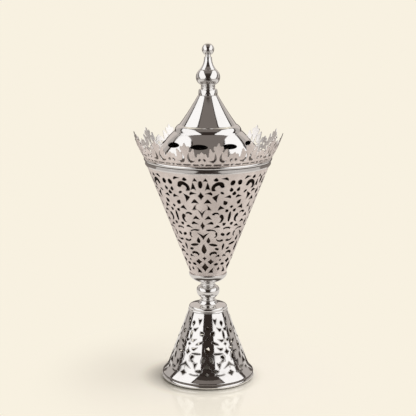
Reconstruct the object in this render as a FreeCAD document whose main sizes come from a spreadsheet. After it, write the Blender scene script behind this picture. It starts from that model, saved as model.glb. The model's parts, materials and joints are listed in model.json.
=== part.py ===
"""Mabkhara: a table-top incense burner of pierced sheet, turned stem parts and a lift-off vented lid.

Every piece is round about the Z axis. The origin is at the centre of the foot, on the surface that
the burner stands on, and +Z is up. All sizes are millimetres and degrees.
"""
import FreeCAD, Part
import math
import os

import Sketcher

Vector = FreeCAD.Vector

# Driving sizes. Heights are the heights of single pieces; levels are summed up from them below.
SIZES = {
    # foot ring and pierced base skirt
    "foot_ring_height": 3.4,
    "foot_roll_radius": 39.5,
    "foot_flat_width": 1.5,
    "foot_seat_width": 1.9,
    "skirt_height": 58.9,
    "skirt_wall": 0.6,
    "skirt_foot_radius": 40.3,
    "skirt_lip_radius": 41.0,
    "skirt_lip_height": 2.2,
    "skirt_lip_wall": 1.0,
    "skirt_flare_height": 10.3,
    "skirt_flare_radius": 35.5,
    "skirt_top_radius": 17.5,
    # domed base cap
    "cap_height": 8.9,
    "cap_wall": 1.0,
    "cap_bead_height": 1.5,
    "cap_edge_height": 1.3,
    "cap_radius": 17.1,
    "cap_shoulder_radius": 14.6,
    "cap_shoulder_drop": 2.7,
    "cap_crown_radius": 6.9,
    "cap_spigot_depth": 2.2,
    # turned stem
    "stem_bead_height": 2.4,
    "stem_bead_radius": 6.2,
    "stem_ball_height": 10.8,
    "stem_ball_radius": 10.3,
    "stem_ball_foot_radius": 6.5,
    "stem_ball_belly_height": 6.6,
    "stem_ball_top_radius": 6.9,
    "stem_collar_height": 4.4,
    "stem_collar_foot_radius": 6.4,
    "stem_collar_ring_height": 1.7,
    "stem_collar_neck_radius": 6.2,
    "stem_collar_top_radius": 7.4,
    # cup, pierced cone, rim band, pan seat and crown
    "cup_depth": 6.2,
    "cup_lap": 1.8,
    "cup_wall": 1.0,
    "cup_floor_radius": 7.6,
    "cone_height": 101.5,
    "cone_wall": 0.6,
    "cone_foot_radius": 15.2,
    "cone_top_radius": 54.7,
    "rim_radius": 56.0,
    "rim_drop": 2.2,
    "rim_toe_width": 0.5,
    "rim_cove_height": 1.6,
    "rim_roll_height": 2.6,
    "rim_groove_depth": 0.5,
    "rim_rise": 4.9,
    "rim_rebate": 2.2,
    "rebate_gap": 0.1,
    "seat_ring_wall": 1.0,
    "seat_ring_height": 2.9,
    "seat_ring_width": 5.6,
    "pan_seat_rise": 3.1,
    "crown_wall": 0.6,
    "crown_foot_height": 2.2,
    "crown_foot_radius": 54.85,
    "crown_hip_height": 0.35,
    "crown_hip_radius": 56.3,
    "crown_height": 23.4,
    "crown_top_radius": 65.7,
    # lift-out coal pan
    "pan_wall": 1.0,
    "pan_lip_radius": 53.5,
    "pan_bore_radius": 44.0,
    "pan_bore_depth": 16.0,
    "pan_depth": 22.0,
    "pan_floor_radius": 36.0,
    # lift-off lid
    "lid_wall": 1.0,
    "lid_brim_radius": 53.3,
    "lid_edge_radius": 52.0,
    "lid_flange_height": 13.4,
    "lid_shoulder_radius": 38.2,
    "lid_slope_height": 12.0,
    "lid_crease_radius": 27.6,
    "lid_band_height": 5.0,
    "lid_cone_foot_radius": 24.2,
    "lid_cone_height": 23.2,
    "lid_top_radius": 8.7,
    "locating_ring_wall": 1.0,
    "locating_ring_drop": 4.0,
    "locating_clearance": 0.6,
    "vent_length": 14.0,
    "vent_width": 5.6,
    # turned finial
    "finial_collar_height": 7.7,
    "finial_collar_radius": 8.2,
    "finial_collar_drum_height": 5.1,
    "finial_neck_radius": 6.1,
    "finial_bulb_height": 14.6,
    "finial_bulb_radius": 10.5,
    "finial_bulb_foot_height": 1.3,
    "finial_bulb_belly_height": 7.6,
    "finial_bulb_top_radius": 7.1,
    "finial_spire_height": 12.4,
    "finial_spire_shoulder_height": 10.6,
    "finial_spire_radius": 3.4,
    "finial_shoulder_drop": 0.4,
    "finial_tip_neck_radius": 2.3,
    "finial_tip_radius": 5.3,
    # rods, nuts and washers
    "tie_rod_radius": 2.5,
    "tie_rod_end": 2.4,
    "tie_nut_width": 8.0,
    "tie_nut_height": 4.0,
    "tie_washer_radius": 6.3,
    "tie_washer_height": 1.2,
    "stud_radius": 1.6,
    "stud_end": 1.6,
    "stud_nut_width": 7.0,
    "stud_nut_height": 3.2,
    "stud_washer_radius": 5.0,
    "stud_washer_height": 1.0,
    # fits
    "nest_gap": 0.05,
    "bore_gap": 0.15,
    "cut_overrun": 1.0,
}

# Angles that the curved runs of an outline turn through, in degrees.
TURNS = {
    "foot_roll_turn": 120.0,
    "skirt_lip_turn": 70.0,
    "skirt_flare_turn": 28.0,
    "cap_bead_turn": 150.0,
    "cap_shoulder_turn": 48.0,
    "cap_dome_turn": 26.0,
    "stem_bead_turn": 60.0,
    "stem_ball_low_turn": 62.0,
    "stem_ball_high_turn": 84.0,
    "stem_ring_turn": 110.0,
    "stem_collar_turn": 50.0,
    "cup_turn": 62.0,
    "rim_roll_turn": 120.0,
    "rim_cove_turn": 50.0,
    "crown_flare_turn": 14.0,
    "pan_corner_turn": 72.0,
    "lid_cone_turn": 9.0,
    "lid_band_turn": 24.0,
    "finial_drum_turn": 10.0,
    "finial_bulb_low_turn": 68.0,
    "finial_bulb_high_turn": 52.0,
    "finial_spire_turn": 43.0,
}

# Openwork: how often each pattern repeats round its sheet, and where its first axis lies.
CONE_REPEATS = 5
CONE_PHASE = -7.5
SKIRT_REPEATS = 5
SKIRT_PHASE = 34.6
CROWN_REPEATS = 14
CROWN_PHASE = 8.0
VENT_COUNT = 9
VENT_PHASE = -11.5

# Outlines of the motifs, anticlockwise, in shares of their own width and height about their own
# centre. The third share is the rise of the arc that leaves a corner, as a share of its chord: more
# than zero bulges out, less than zero is hollow, and zero is straight.
MOTIF_SHARES = {
    "diamond": ((0, -0.5, -0.04), (0.5, 0, -0.04), (0, 0.5, -0.04), (-0.5, 0, -0.04)),
    "drop": ((-0.5, -0.14, 0.36), (0.5, -0.14, 0.07), (0, 0.5, 0.07)),
    "leaf": ((-0.5, 0, 0.5), (0.5, 0, 0.5)),
    "crescent": ((-0.5, -0.5, -0.42), (0.5, -0.5, 1.0)),
    "spade": ((-0.5, -0.5, -0.14), (0.5, -0.5, 0.03), (0, 0.5, 0.03)),
    "sail": ((-0.5, -0.5, 0), (0.36, -0.5, -0.2), (0.5, 0.5, 0.06)),
    "chevron": ((-0.5, -0.5, -0.04), (0, -0.08, -0.04), (0.5, -0.5, -0.02), (0, 0.5, -0.02)),
    "comma": ((-0.5, 0.5, 0.38), (0.5, -0.1, 0.6), (0.05, 0.12, -0.16)),
    "hook": (
        (-0.5, -0.5, 0.1),
        (-0.14, -0.5, -0.34),
        (0.1, 0.1, 0.0),
        (0.2, -0.05, 0.7),
        (0.5, 0.1, 0.25),
        (0, 0.5, 0.2),
    ),
    "vee": ((0, -0.5, -0.04), (0.5, 0.5, 0.06), (0, 0.1, 0.06), (-0.5, 0.5, -0.04)),
    "wing": ((-0.5, -0.45, -0.08), (0.5, -0.2, 0.2), (0.05, 0.5, -0.02)),
    "fleur": (
        (0, -0.5, -0.12),
        (0.5, 0.05, 0.05),
        (0.2, 0.2, -0.05),
        (0, 0.5, -0.05),
        (-0.2, 0.2, 0.05),
        (-0.5, 0.05, -0.12),
    ),
    "bar": ((-0.5, -0.5, 0), (0.5, -0.5, 0.12), (0.42, 0.5, -0.03), (-0.42, 0.5, 0.12)),
    "scroll": (
        (-0.21, 0.494, 0.1),
        (-0.49, -0.057, 0.22),
        (-0.042, -0.506, 0.12),
        (0.51, -0.264, -0.1),
        (0.02, -0.322, -0.2),
        (-0.29, -0.057, -0.06),
    ),
}

# Each row: motif, place across (share of half a repeat), place up (share of the pierced band),
# width (share of half a repeat, negative where the motif is mirrored), height (share of the band),
# tilt in degrees, and whether the motif stands on an axis or as a pair either side of it.
CONE_SHARES = (
    ("spade", 0.14, 0.955, 0.12, 0.033, 0, "pair"),
    ("drop", 0.42, 0.957, 0.13, 0.035, 0, "pair"),
    ("wing", 0.66, 0.964, 0.21, 0.033, -25, "pair"),
    ("leaf", 0.0, 0.91, 0.12, 0.073, 90, "axis"),
    ("spade", 0.2, 0.893, 0.14, 0.073, 0, "pair"),
    ("hook", 0.48, 0.893, 0.34, 0.085, 0, "pair"),
    ("leaf", 0.89, 0.92, 0.14, 0.052, 70, "pair"),
    ("drop", 0.885, 0.855, 0.12, 0.043, 15, "pair"),
    ("wing", 0.24, 0.825, 0.21, 0.038, -25, "pair"),
    ("leaf", 0.62, 0.827, 0.13, 0.021, -35, "pair"),
    ("drop", 1.0, 0.818, 0.14, 0.04, 0, "axis"),
    ("diamond", 0.0, 0.8, 0.18, 0.075, 0, "axis"),
    ("spade", 0.42, 0.783, 0.18, 0.08, 80, "pair"),
    ("wing", 0.82, 0.788, 0.21, 0.038, -20, "pair"),
    ("spade", 0.2, 0.748, 0.24, 0.043, 0, "pair"),
    ("drop", 0.75, 0.731, 0.15, 0.05, 35, "pair"),
    ("sail", 0.235, 0.69, -0.15, 0.052, 0, "pair"),
    ("spade", 0.62, 0.684, 0.24, 0.043, 15, "pair"),
    ("diamond", 1.0, 0.688, 0.14, 0.035, 0, "axis"),
    ("vee", 0.0, 0.626, 0.26, 0.073, 0, "axis"),
    ("comma", 0.47, 0.628, 0.23, 0.044, 190, "pair"),
    ("drop", 0.85, 0.652, 0.13, 0.035, 40, "pair"),
    ("spade", 0.22, 0.588, 0.25, 0.038, 0, "pair"),
    ("leaf", 1.0, 0.59, 0.11, 0.102, 90, "axis"),
    ("comma", 0.72, 0.576, 0.28, 0.076, 100, "pair"),
    ("wing", 0.29, 0.532, 0.26, 0.038, -12, "pair"),
    ("drop", 0.83, 0.52, 0.15, 0.033, 50, "pair"),
    ("diamond", 0.0, 0.506, 0.18, 0.078, 0, "axis"),
    ("wing", 0.54, 0.494, 0.28, 0.031, 0, "pair"),
    ("crescent", 1.0, 0.476, 0.28, 0.026, 0, "axis"),
    ("comma", 0.34, 0.462, 0.38, 0.033, 175, "pair"),
    ("vee", 0.0, 0.4, 0.51, 0.071, 0, "axis"),
    ("comma", 0.57, 0.412, 0.18, 0.052, 90, "pair"),
    ("leaf", 0.86, 0.414, 0.22, 0.028, -32, "pair"),
    ("drop", 0.23, 0.36, 0.18, 0.059, 0, "pair"),
    ("comma", 0.76, 0.352, 0.33, 0.043, 0, "pair"),
    ("leaf", 0.47, 0.312, 0.45, 0.026, -12, "pair"),
    ("drop", 1.0, 0.285, 0.14, 0.071, 180, "axis"),
    ("drop", 0.0, 0.272, 0.28, 0.097, 0, "axis"),
    ("leaf", 0.68, 0.268, 0.24, 0.024, -18, "pair"),
    ("crescent", 0.5, 0.224, 0.38, 0.043, 12, "pair"),
    ("wing", 0.77, 0.196, 0.27, 0.033, -12, "pair"),
    ("fleur", 0.0, 0.172, 0.26, 0.045, 0, "axis"),
    ("diamond", 1.0, 0.153, 0.18, 0.026, 0, "axis"),
    ("diamond", 0.38, 0.138, 0.42, 0.057, 0, "pair"),
    ("leaf", 0.76, 0.11, 0.31, 0.026, 8, "pair"),
    ("diamond", 0.0, 0.08, 0.52, 0.09, 0, "axis"),
    ("sail", 0.47, 0.054, 0.45, 0.059, 0, "pair"),
    ("diamond", 1.0, 0.06, 0.24, 0.043, 0, "axis"),
)
SKIRT_SHARES = (
    ("drop", 0.0, 0.843, 0.24, 0.085, 180, "axis"),
    ("spade", 0.46, 0.88, 0.28, 0.094, 180, "pair"),
    ("wing", 0.25, 0.755, 0.33, 0.068, 185, "pair"),
    ("leaf", 0.0, 0.666, 0.14, 0.127, 90, "axis"),
    ("wing", 0.23, 0.584, 0.33, 0.052, 180, "pair"),
    ("diamond", 0.0, 0.524, 0.18, 0.05, 0, "axis"),
    ("leaf", 0.57, 0.542, 0.41, 0.031, 25, "pair"),
    ("wing", 0.35, 0.452, 0.31, 0.057, 180, "pair"),
    ("diamond", 0.0, 0.4005, 0.25, 0.088, 0, "axis"),
    ("leaf", 0.455, 0.379, 0.46, 0.028, 2, "pair"),
    ("comma", 0.27, 0.298, -0.35, 0.106, -90, "pair"),
    ("chevron", 0.0, 0.197, 0.55, 0.097, 0, "axis"),
    ("spade", 0.47, 0.197, 0.18, 0.092, 180, "pair"),
    ("diamond", 0.0, 0.0713, 0.28, 0.092, 0, "axis"),
    ("leaf", 0.648, 0.1135, 0.27, 0.043, 0, "pair"),
    ("crescent", 0.48, 0.0538, 0.29, 0.024, 180, "pair"),
    ("diamond", 1.0, 0.779, 0.27, 0.078, 0, "axis"),
    ("drop", 0.658, 0.699, 0.24, 0.073, 40, "pair"),
    ("spade", 1.0, 0.624, 0.21, 0.047, 0, "axis"),
    ("drop", 1.0, 0.43, 0.26, 0.153, 180, "axis"),
    ("leaf", 0.81, 0.285, 0.15, 0.106, 75, "pair"),
    ("spade", 1.0, 0.195, 0.35, 0.106, 0, "axis"),
    ("diamond", 1.0, 0.07, 0.19, 0.059, 0, "axis"),
)
CROWN_SHARES = (
    ("bar", 0.0, 0.062, 0.5, 0.075, 0, "axis"),
    ("bar", 0.585, 0.062, 0.36, 0.075, 0, "pair"),
    ("drop", 1.0, 0.062, 0.27, 0.1, 180, "axis"),
    ("scroll", 0.32, 0.385, 0.48, 0.435, 0, "pair"),
    ("leaf", 0.845, 0.29, 0.16, 0.15, -25, "pair"),
)

# Top edge of the crown over half a repeat, from the tall leaf's tip to the short leaf's tip: share
# of half a repeat, share of the crown's height above its hip, and the rise of the arc that leaves
# the corner. Here more than zero is hollow, because the outline is that of the cutter above it.
CROWN_EDGE_SHARES = (
    (0.0, 1.0, -0.1),
    (0.08, 0.9, 0.22),
    (0.22, 0.87, -0.25),
    (0.28, 0.78, -0.2),
    (0.22, 0.69, 0.4),
    (0.37, 0.66, -0.05),
    (0.44, 0.73, -0.55),
    (0.53, 0.66, -0.05),
    (0.57, 0.46, 0.48),
    (0.7, 0.46, -0.32),
    (0.86, 0.52, -0.06),
    (1.0, 0.62, 0),
)

# The pierced band of each sheet, as shares of the sheet's straight run: where it starts and ends.
CONE_BAND_SHARES = (0.030, 0.975)
SKIRT_BAND_SHARES = (-0.10, 1.0)


class Length:
    """A size in millimetres, or a ratio of two, together with the sheet formula that gives it."""

    def __init__(self, value, formula):
        self.value = value
        self.formula = formula

    def __add__(self, other):
        return Length(self.value + other.value, f"({self.formula} + {other.formula})")

    def __sub__(self, other):
        return Length(self.value - other.value, f"({self.formula} - {other.formula})")

    def __mul__(self, other):
        if isinstance(other, Length):
            return Length(self.value * other.value, f"({self.formula} * {other.formula})")
        return Length(self.value * other, f"({self.formula} * {other})")

    def __truediv__(self, other):
        return Length(self.value / other.value, f"({self.formula} / {other.formula})")

    def root(self):
        """Return the square root."""
        return Length(math.sqrt(self.value), f"sqrt({self.formula})")


def diagonal(width, height):
    """Return the length of the slope over this width and height."""
    return (width * width + height * height).root()


doc = FreeCAD.newDocument("mabkhara")
sheet = doc.addObject("Spreadsheet::Sheet", "Sizes")
for row, (name, number) in enumerate({**SIZES, **TURNS}.items(), start=1):
    sheet.set(f"A{row}", name)
    sheet.set(f"B{row}", str(number))
    sheet.setAlias(f"B{row}", name)
doc.recompute()

ZERO = Length(0.0, "0")
NODES = []


def size(name):
    """Return the named size as a Length bound to its cell."""
    return Length(float(sheet.get(name)), f"Sizes.{name}")


def node(item, label):
    """Name a finished piece and put it on the list of pieces to write out."""
    item.Label = label
    NODES.append(item)
    return item


def axis_plane(body, role):
    """Return the origin plane of a body that has this role."""
    return next(plane for plane in body.Origin.OriginFeatures if plane.Role == role)


def arc_between(start, end, turn):
    """Return the centre, radius and two angles of the arc from start to end that turns by this angle.

    A positive turn bends left of the way from start to end, a negative one bends right.
    """
    half = math.radians(abs(turn)) / 2
    chord = math.dist(start, end)
    radius = chord / 2 / math.sin(half)
    reach = radius * math.cos(half) * (1 if turn > 0 else -1)
    left = ((start[1] - end[1]) / chord, (end[0] - start[0]) / chord)
    centre = (
        (start[0] + end[0]) / 2 + left[0] * reach,
        (start[1] + end[1]) / 2 + left[1] * reach,
    )
    first, last = (start, end) if turn > 0 else (end, start)
    from_angle = math.atan2(first[1] - centre[1], first[0] - centre[0])
    to_angle = math.atan2(last[1] - centre[1], last[0] - centre[0])
    return centre, radius, from_angle, to_angle


def draw_outline(sketch, outline):
    """Draw a closed outline of (radius, height, turn) corners and tie each corner to the sheet.

    The turn is the name of the angle of the run that leaves the corner, with a minus sign in front
    where it bends right, or None where the run is straight.
    """
    ends = []
    for index, (radius, height, turn) in enumerate(outline):
        after = outline[(index + 1) % len(outline)]
        start = (radius.value, height.value)
        end = (after[0].value, after[1].value)
        if turn is None:
            line = Part.LineSegment(Vector(start[0], start[1], 0), Vector(end[0], end[1], 0))
            ends.append((sketch.addGeometry(line), 1, 2))
            continue
        angle = size(turn.lstrip("-"))
        sign = -1 if turn.startswith("-") else 1
        centre, bend, first, last = arc_between(start, end, sign * angle.value)
        circle = Part.Circle(Vector(centre[0], centre[1], 0), Vector(0, 0, 1), bend)
        run = sketch.addGeometry(Part.ArcOfCircle(circle, first, last))
        ends.append((run, 1, 2) if sign > 0 else (run, 2, 1))
        limit = sketch.addConstraint(Sketcher.Constraint("Angle", run, math.radians(angle.value)))
        sketch.setExpression(f"Constraints[{limit}]", angle.formula)
    for index, (run, _, tail) in enumerate(ends):
        following, head, _ = ends[(index + 1) % len(ends)]
        sketch.addConstraint(Sketcher.Constraint("Coincident", run, tail, following, head))
    for (run, head, _), (radius, height, _) in zip(ends, outline):
        for kind, length in (("DistanceX", radius), ("DistanceY", height)):
            place = Sketcher.Constraint(kind, -1, 1, run, head, length.value)
            number = sketch.addConstraint(place)
            sketch.setExpression(f"Constraints[{number}]", length.formula)


def turned(name, outline):
    """Make a body by turning an outline in the XZ plane about the Z axis."""
    body = doc.addObject("PartDesign::Body", name)
    sketch = body.newObject("Sketcher::SketchObject", f"{name}_outline")
    sketch.AttachmentSupport = [(axis_plane(body, "XZ_Plane"), "")]
    sketch.MapMode = "FlatFace"
    draw_outline(sketch, outline)
    revolution = body.newObject("PartDesign::Revolution", f"{name}_turning")
    revolution.Profile = sketch
    revolution.ReferenceAxis = (sketch, ["V_Axis"])
    revolution.Angle = 360
    sketch.Visibility = False
    return body


def ring(name, bore, radius, low, high):
    """Make a plain washer-like ring."""
    outline = [(bore, low, None), (radius, low, None), (radius, high, None), (bore, high, None)]
    return turned(name, outline)


def hex_nut(name, width, bore, low, height):
    """Make a hexagon nut: a prism across its flats with a round hole."""
    prism = doc.addObject("Part::Prism", f"{name}_hexagon")
    prism.Polygon = 6
    prism.setExpression("Circumradius", f"{width.formula} / sqrt(3)")
    prism.setExpression("Height", height.formula)
    prism.setExpression("Placement.Base.z", low.formula)
    hole = doc.addObject("Part::Cylinder", f"{name}_hole")
    hole.setExpression("Radius", bore.formula)
    hole.setExpression("Height", f"{height.formula} + 2 * {size('cut_overrun').formula}")
    hole.setExpression("Placement.Base.z", f"{low.formula} - {size('cut_overrun').formula}")
    nut = doc.addObject("Part::Cut", name)
    nut.Base = prism
    nut.Tool = hole
    return nut


def rod(name, radius, low, high):
    """Make a plain round rod standing on the axis."""
    bar = doc.addObject("Part::Cylinder", name)
    bar.setExpression("Radius", radius.formula)
    bar.setExpression("Height", f"{high.formula} - {low.formula}")
    bar.setExpression("Placement.Base.z", low.formula)
    return bar


def wall_frame(low, high, up, angle):
    """Return the place, the two directions along the wall and the one out of it, on a conical wall.

    low and high are the (radius, height) ends of the wall's straight run, up is the share of the way
    along it, and angle is the angle from the front, in degrees.
    """
    radius = low[0] + (high[0] - low[0]) * up
    height = low[1] + (high[1] - low[1]) * up
    turn = math.radians(angle)
    outward = Vector(math.sin(turn), -math.cos(turn), 0)
    across = Vector(math.cos(turn), math.sin(turn), 0)
    slant = outward * (high[0] - low[0]) + Vector(0, 0, high[1] - low[1])
    slant.normalize()
    normal = across.cross(slant)
    return outward * radius + Vector(0, 0, height), across, slant, normal


def outline_prism(corners, place_at, normal, depth):
    """Return a solid that runs through the wall along an outline of (x, y, bend) corners.

    place_at gives the point of the wall's face at x and y. The solid reaches from depth inside that
    face to depth outside it.
    """
    edges = []
    for (x, y, bend), (next_x, next_y, _) in zip(corners, corners[1:] + corners[:1]):
        start = place_at(x, y)
        end = place_at(next_x, next_y)
        if bend == 0:
            edges.append(Part.LineSegment(start, end).toShape())
            continue
        middle_x = (x + next_x) / 2 + (next_y - y) * bend
        middle_y = (y + next_y) / 2 - (next_x - x) * bend
        edges.append(Part.Arc(start, place_at(middle_x, middle_y), end).toShape())
    face = Part.Face(Part.Wire(edges))
    face.translate(normal * -depth)
    return face.extrude(normal * (2 * depth))


def motif_prism(low, high, half_repeat, row, angle, side, depth):
    """Return the cutter of one motif, set square to the wall where it stands."""
    kind, across_share, up_share, width_share, height_share, tilt, _ = row
    turn = angle + side * across_share * half_repeat
    place, across, slant, normal = wall_frame(low, high, up_share, turn)
    width = width_share * math.radians(half_repeat) * math.hypot(place.x, place.y)
    height = height_share * math.dist(low, high)
    cosine = math.cos(math.radians(tilt))
    sine = math.sin(math.radians(tilt))
    if abs(sine) > abs(cosine):
        width, height = math.copysign(height, width), abs(width)

    def place_at(x, y):
        sideways = (x * width * cosine - y * height * sine) * side
        return place + across * sideways + slant * (x * width * sine + y * height * cosine)

    return outline_prism(MOTIF_SHARES[kind], place_at, normal, depth)


def openwork(low, high, repeats, phase, rows, depth):
    """Return all the motif cutters of a pierced wall, repeated round it."""
    half_repeat = 180.0 / repeats
    cutters = []
    for repeat in range(repeats):
        angle = phase + repeat * 2 * half_repeat
        for row in rows:
            for side in (1,) if row[-1] == "axis" else (1, -1):
                cutters.append(motif_prism(low, high, half_repeat, row, angle, side, depth))
    return cutters


def band_ends(low, high, shares):
    """Return the (radius, height) ends of a pierced band from the ends of its sheet."""
    return [
        tuple(a + (b - a) * share for a, b in zip(low, high))
        for share in shares
    ]


def pierced(name, blank, cutters):
    """Cut a group of cutters out of a blank."""
    tools = doc.addObject("Part::Feature", f"{name}_cutters")
    tools.Shape = Part.makeCompound(cutters)
    tools.Placement = FreeCAD.Placement()
    cut = doc.addObject("Part::Cut", name)
    cut.Base = blank
    cut.Tool = tools
    return cut


# Levels, from the foot to the tip of the finial.
foot_top = size("foot_ring_height")
skirt_top = foot_top + size("skirt_height")
cap_top = skirt_top + size("cap_height")
bead_top = cap_top + size("stem_bead_height")
ball_top = bead_top + size("stem_ball_height")
collar_top = ball_top + size("stem_collar_height")
cone_seat = collar_top + size("cup_depth")
cup_top = cone_seat + size("cup_lap")
cone_top = cone_seat + size("cone_height")
pan_seat = cone_top + size("pan_seat_rise")
lip_top = pan_seat + size("pan_wall")
brim_top = lip_top + size("lid_wall")
lid_shoulder = brim_top + size("lid_flange_height")
lid_crease = lid_shoulder + size("lid_slope_height")
lid_cone_foot = lid_crease + size("lid_band_height")
lid_top = lid_cone_foot + size("lid_cone_height")
finial_collar_top = lid_top + size("finial_collar_height")
bulb_top = finial_collar_top + size("finial_bulb_height")
spire_top = bulb_top + size("finial_spire_height")

nest_gap = size("nest_gap")
tie_bore = size("tie_rod_radius") + size("bore_gap")
stud_bore = size("stud_radius") + size("bore_gap")

# Foot ring: a rolled bead with a narrow flat to stand on and a flat seat for the skirt.
roll_middle = size("foot_roll_radius")
half_flat = size("foot_flat_width") * 0.5
half_seat = size("foot_seat_width") * 0.5
node(
    turned(
        "foot_ring_body",
        [
            (roll_middle - half_flat, ZERO, None),
            (roll_middle + half_flat, ZERO, "foot_roll_turn"),
            (roll_middle + half_seat, foot_top, None),
            (roll_middle - half_seat, foot_top, "foot_roll_turn"),
        ],
    ),
    "foot_ring",
)

# Base skirt: a cone with a short bell flare and a rounded lip, pierced all over.
skirt_wall = size("skirt_wall")
flare_top = foot_top + size("skirt_flare_height")
lip_edge = foot_top + size("skirt_lip_height")
skirt_blank = turned(
    "base_skirt_blank",
    [
        (size("skirt_foot_radius") - skirt_wall, foot_top, None),
        (size("skirt_foot_radius"), foot_top, "skirt_lip_turn"),
        (size("skirt_lip_radius"), lip_edge, "-skirt_flare_turn"),
        (size("skirt_flare_radius"), flare_top, None),
        (size("skirt_top_radius"), skirt_top, None),
        (size("skirt_top_radius") - skirt_wall, skirt_top, None),
        (size("skirt_flare_radius") - skirt_wall, flare_top, "skirt_flare_turn"),
        (size("skirt_lip_radius") - size("skirt_lip_wall"), lip_edge, None),
    ],
)
skirt_low = (size("skirt_flare_radius").value, flare_top.value)
skirt_high = (size("skirt_top_radius").value, skirt_top.value)
skirt_band = band_ends(skirt_low, skirt_high, SKIRT_BAND_SHARES)
skirt_depth = skirt_wall.value + size("cut_overrun").value
node(
    pierced(
        "base_skirt_pierced",
        skirt_blank,
        openwork(*skirt_band, SKIRT_REPEATS, SKIRT_PHASE, SKIRT_SHARES, skirt_depth),
    ),
    "base_skirt",
)

# Base cap: a spun dome with a beaded edge, a spigot inside the skirt and a hole for the tie rod.
cap_wall = size("cap_wall")
spigot_radius = size("skirt_top_radius") - skirt_wall - nest_gap
bead_level = skirt_top + size("cap_bead_height")
edge_level = bead_level + size("cap_edge_height")
shoulder_level = cap_top - size("cap_shoulder_drop")
node(
    turned(
        "base_cap_body",
        [
            (tie_bore, cap_top - cap_wall, None),
            (size("cap_crown_radius"), cap_top - cap_wall, "-cap_dome_turn"),
            (size("cap_shoulder_radius") - cap_wall, shoulder_level - cap_wall, "-cap_shoulder_turn"),
            (spigot_radius - cap_wall, edge_level - cap_wall, None),
            (spigot_radius - cap_wall, skirt_top - size("cap_spigot_depth"), None),
            (spigot_radius, skirt_top - size("cap_spigot_depth"), None),
            (spigot_radius, skirt_top, None),
            (size("cap_radius"), skirt_top, "cap_bead_turn"),
            (size("cap_radius"), bead_level, None),
            (size("cap_radius"), edge_level, "cap_shoulder_turn"),
            (size("cap_shoulder_radius"), shoulder_level, "cap_dome_turn"),
            (size("cap_crown_radius"), cap_top, None),
            (tie_bore, cap_top, None),
        ],
    ),
    "base_cap",
)

# Stem: a small bead, a flattened ball and a waisted collar, threaded on the tie rod.
node(
    turned(
        "stem_bead_body",
        [
            (tie_bore, cap_top, None),
            (size("stem_bead_radius"), cap_top, "stem_bead_turn"),
            (size("stem_bead_radius"), bead_top, None),
            (tie_bore, bead_top, None),
        ],
    ),
    "stem_bead",
)
node(
    turned(
        "stem_ball_body",
        [
            (tie_bore, bead_top, None),
            (size("stem_ball_foot_radius"), bead_top, "stem_ball_low_turn"),
            (size("stem_ball_radius"), bead_top + size("stem_ball_belly_height"), "stem_ball_high_turn"),
            (size("stem_ball_top_radius"), ball_top, None),
            (tie_bore, ball_top, None),
        ],
    ),
    "stem_ball",
)
collar_ring = ball_top + size("stem_collar_ring_height")
node(
    turned(
        "stem_collar_body",
        [
            (tie_bore, ball_top, None),
            (size("stem_collar_foot_radius"), ball_top, "stem_ring_turn"),
            (size("stem_collar_neck_radius"), collar_ring, "-stem_collar_turn"),
            (size("stem_collar_top_radius"), collar_top, None),
            (tie_bore, collar_top, None),
        ],
    ),
    "stem_collar",
)

# Body cup: a spun bowl whose ledge and lap hold the lower edge of the cone.
cup_wall = size("cup_wall")
cone_wall = size("cone_wall")
cone_rise = size("cone_top_radius") - size("cone_foot_radius")
lap_spread = cone_rise * size("cup_lap") / size("cone_height")
cone_foot = size("cone_foot_radius")
ledge_inner = cone_foot - cone_wall - nest_gap
lap_radius = cone_foot + lap_spread + nest_gap
node(
    turned(
        "body_cup_body",
        [
            (tie_bore, collar_top, None),
            (size("cup_floor_radius"), collar_top, "cup_turn"),
            (lap_radius + cup_wall, cone_seat, None),
            (lap_radius + cup_wall, cup_top, None),
            (lap_radius, cup_top, None),
            (cone_foot + nest_gap, cone_seat, None),
            (ledge_inner, cone_seat, "-cup_turn"),
            (size("cup_floor_radius"), collar_top + cup_wall, None),
            (tie_bore, collar_top + cup_wall, None),
        ],
    ),
    "body_cup",
)

# Body cone: rolled from one pierced sheet.
cone_blank = turned(
    "body_cone_blank",
    [
        (cone_foot - cone_wall, cone_seat, None),
        (cone_foot, cone_seat, None),
        (size("cone_top_radius"), cone_top, None),
        (size("cone_top_radius") - cone_wall, cone_top, None),
    ],
)
cone_low = (cone_foot.value, cone_seat.value)
cone_high = (size("cone_top_radius").value, cone_top.value)
cone_band = band_ends(cone_low, cone_high, CONE_BAND_SHARES)
cone_depth = cone_wall.value + size("cut_overrun").value
node(
    pierced(
        "body_cone_pierced",
        cone_blank,
        openwork(*cone_band, CONE_REPEATS, CONE_PHASE, CONE_SHARES, cone_depth),
    ),
    "body_cone",
)

# Rim band: a cove and two half-round rolls round the mouth of the cone, rebated for the crown.
drop_spread = cone_rise * size("rim_drop") / size("cone_height")
rim_toe = size("cone_top_radius") - drop_spread + nest_gap
rim_foot = cone_top - size("rim_drop")
rim_top = cone_top + size("rim_rise")
rim_bore = size("cone_top_radius") - cone_wall
rebate_radius = size("crown_foot_radius") + size("rebate_gap")
cove_top = rim_foot + size("rim_cove_height")
roll_parting = cove_top + size("rim_roll_height")
groove_radius = size("rim_radius") - size("rim_groove_depth")
crown_foot = rim_top - size("rim_rebate")
node(
    turned(
        "rim_band_body",
        [
            (rim_toe, rim_foot, None),
            (rim_toe + size("rim_toe_width"), rim_foot, "-rim_cove_turn"),
            (groove_radius, cove_top, "rim_roll_turn"),
            (groove_radius, roll_parting, "rim_roll_turn"),
            (groove_radius, rim_top, None),
            (rebate_radius, rim_top, None),
            (rebate_radius, crown_foot, None),
            (rim_bore, crown_foot, None),
            (rim_bore, cone_top, None),
            (size("cone_top_radius") + nest_gap, cone_top, None),
        ],
    ),
    "rim_band",
)

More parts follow.
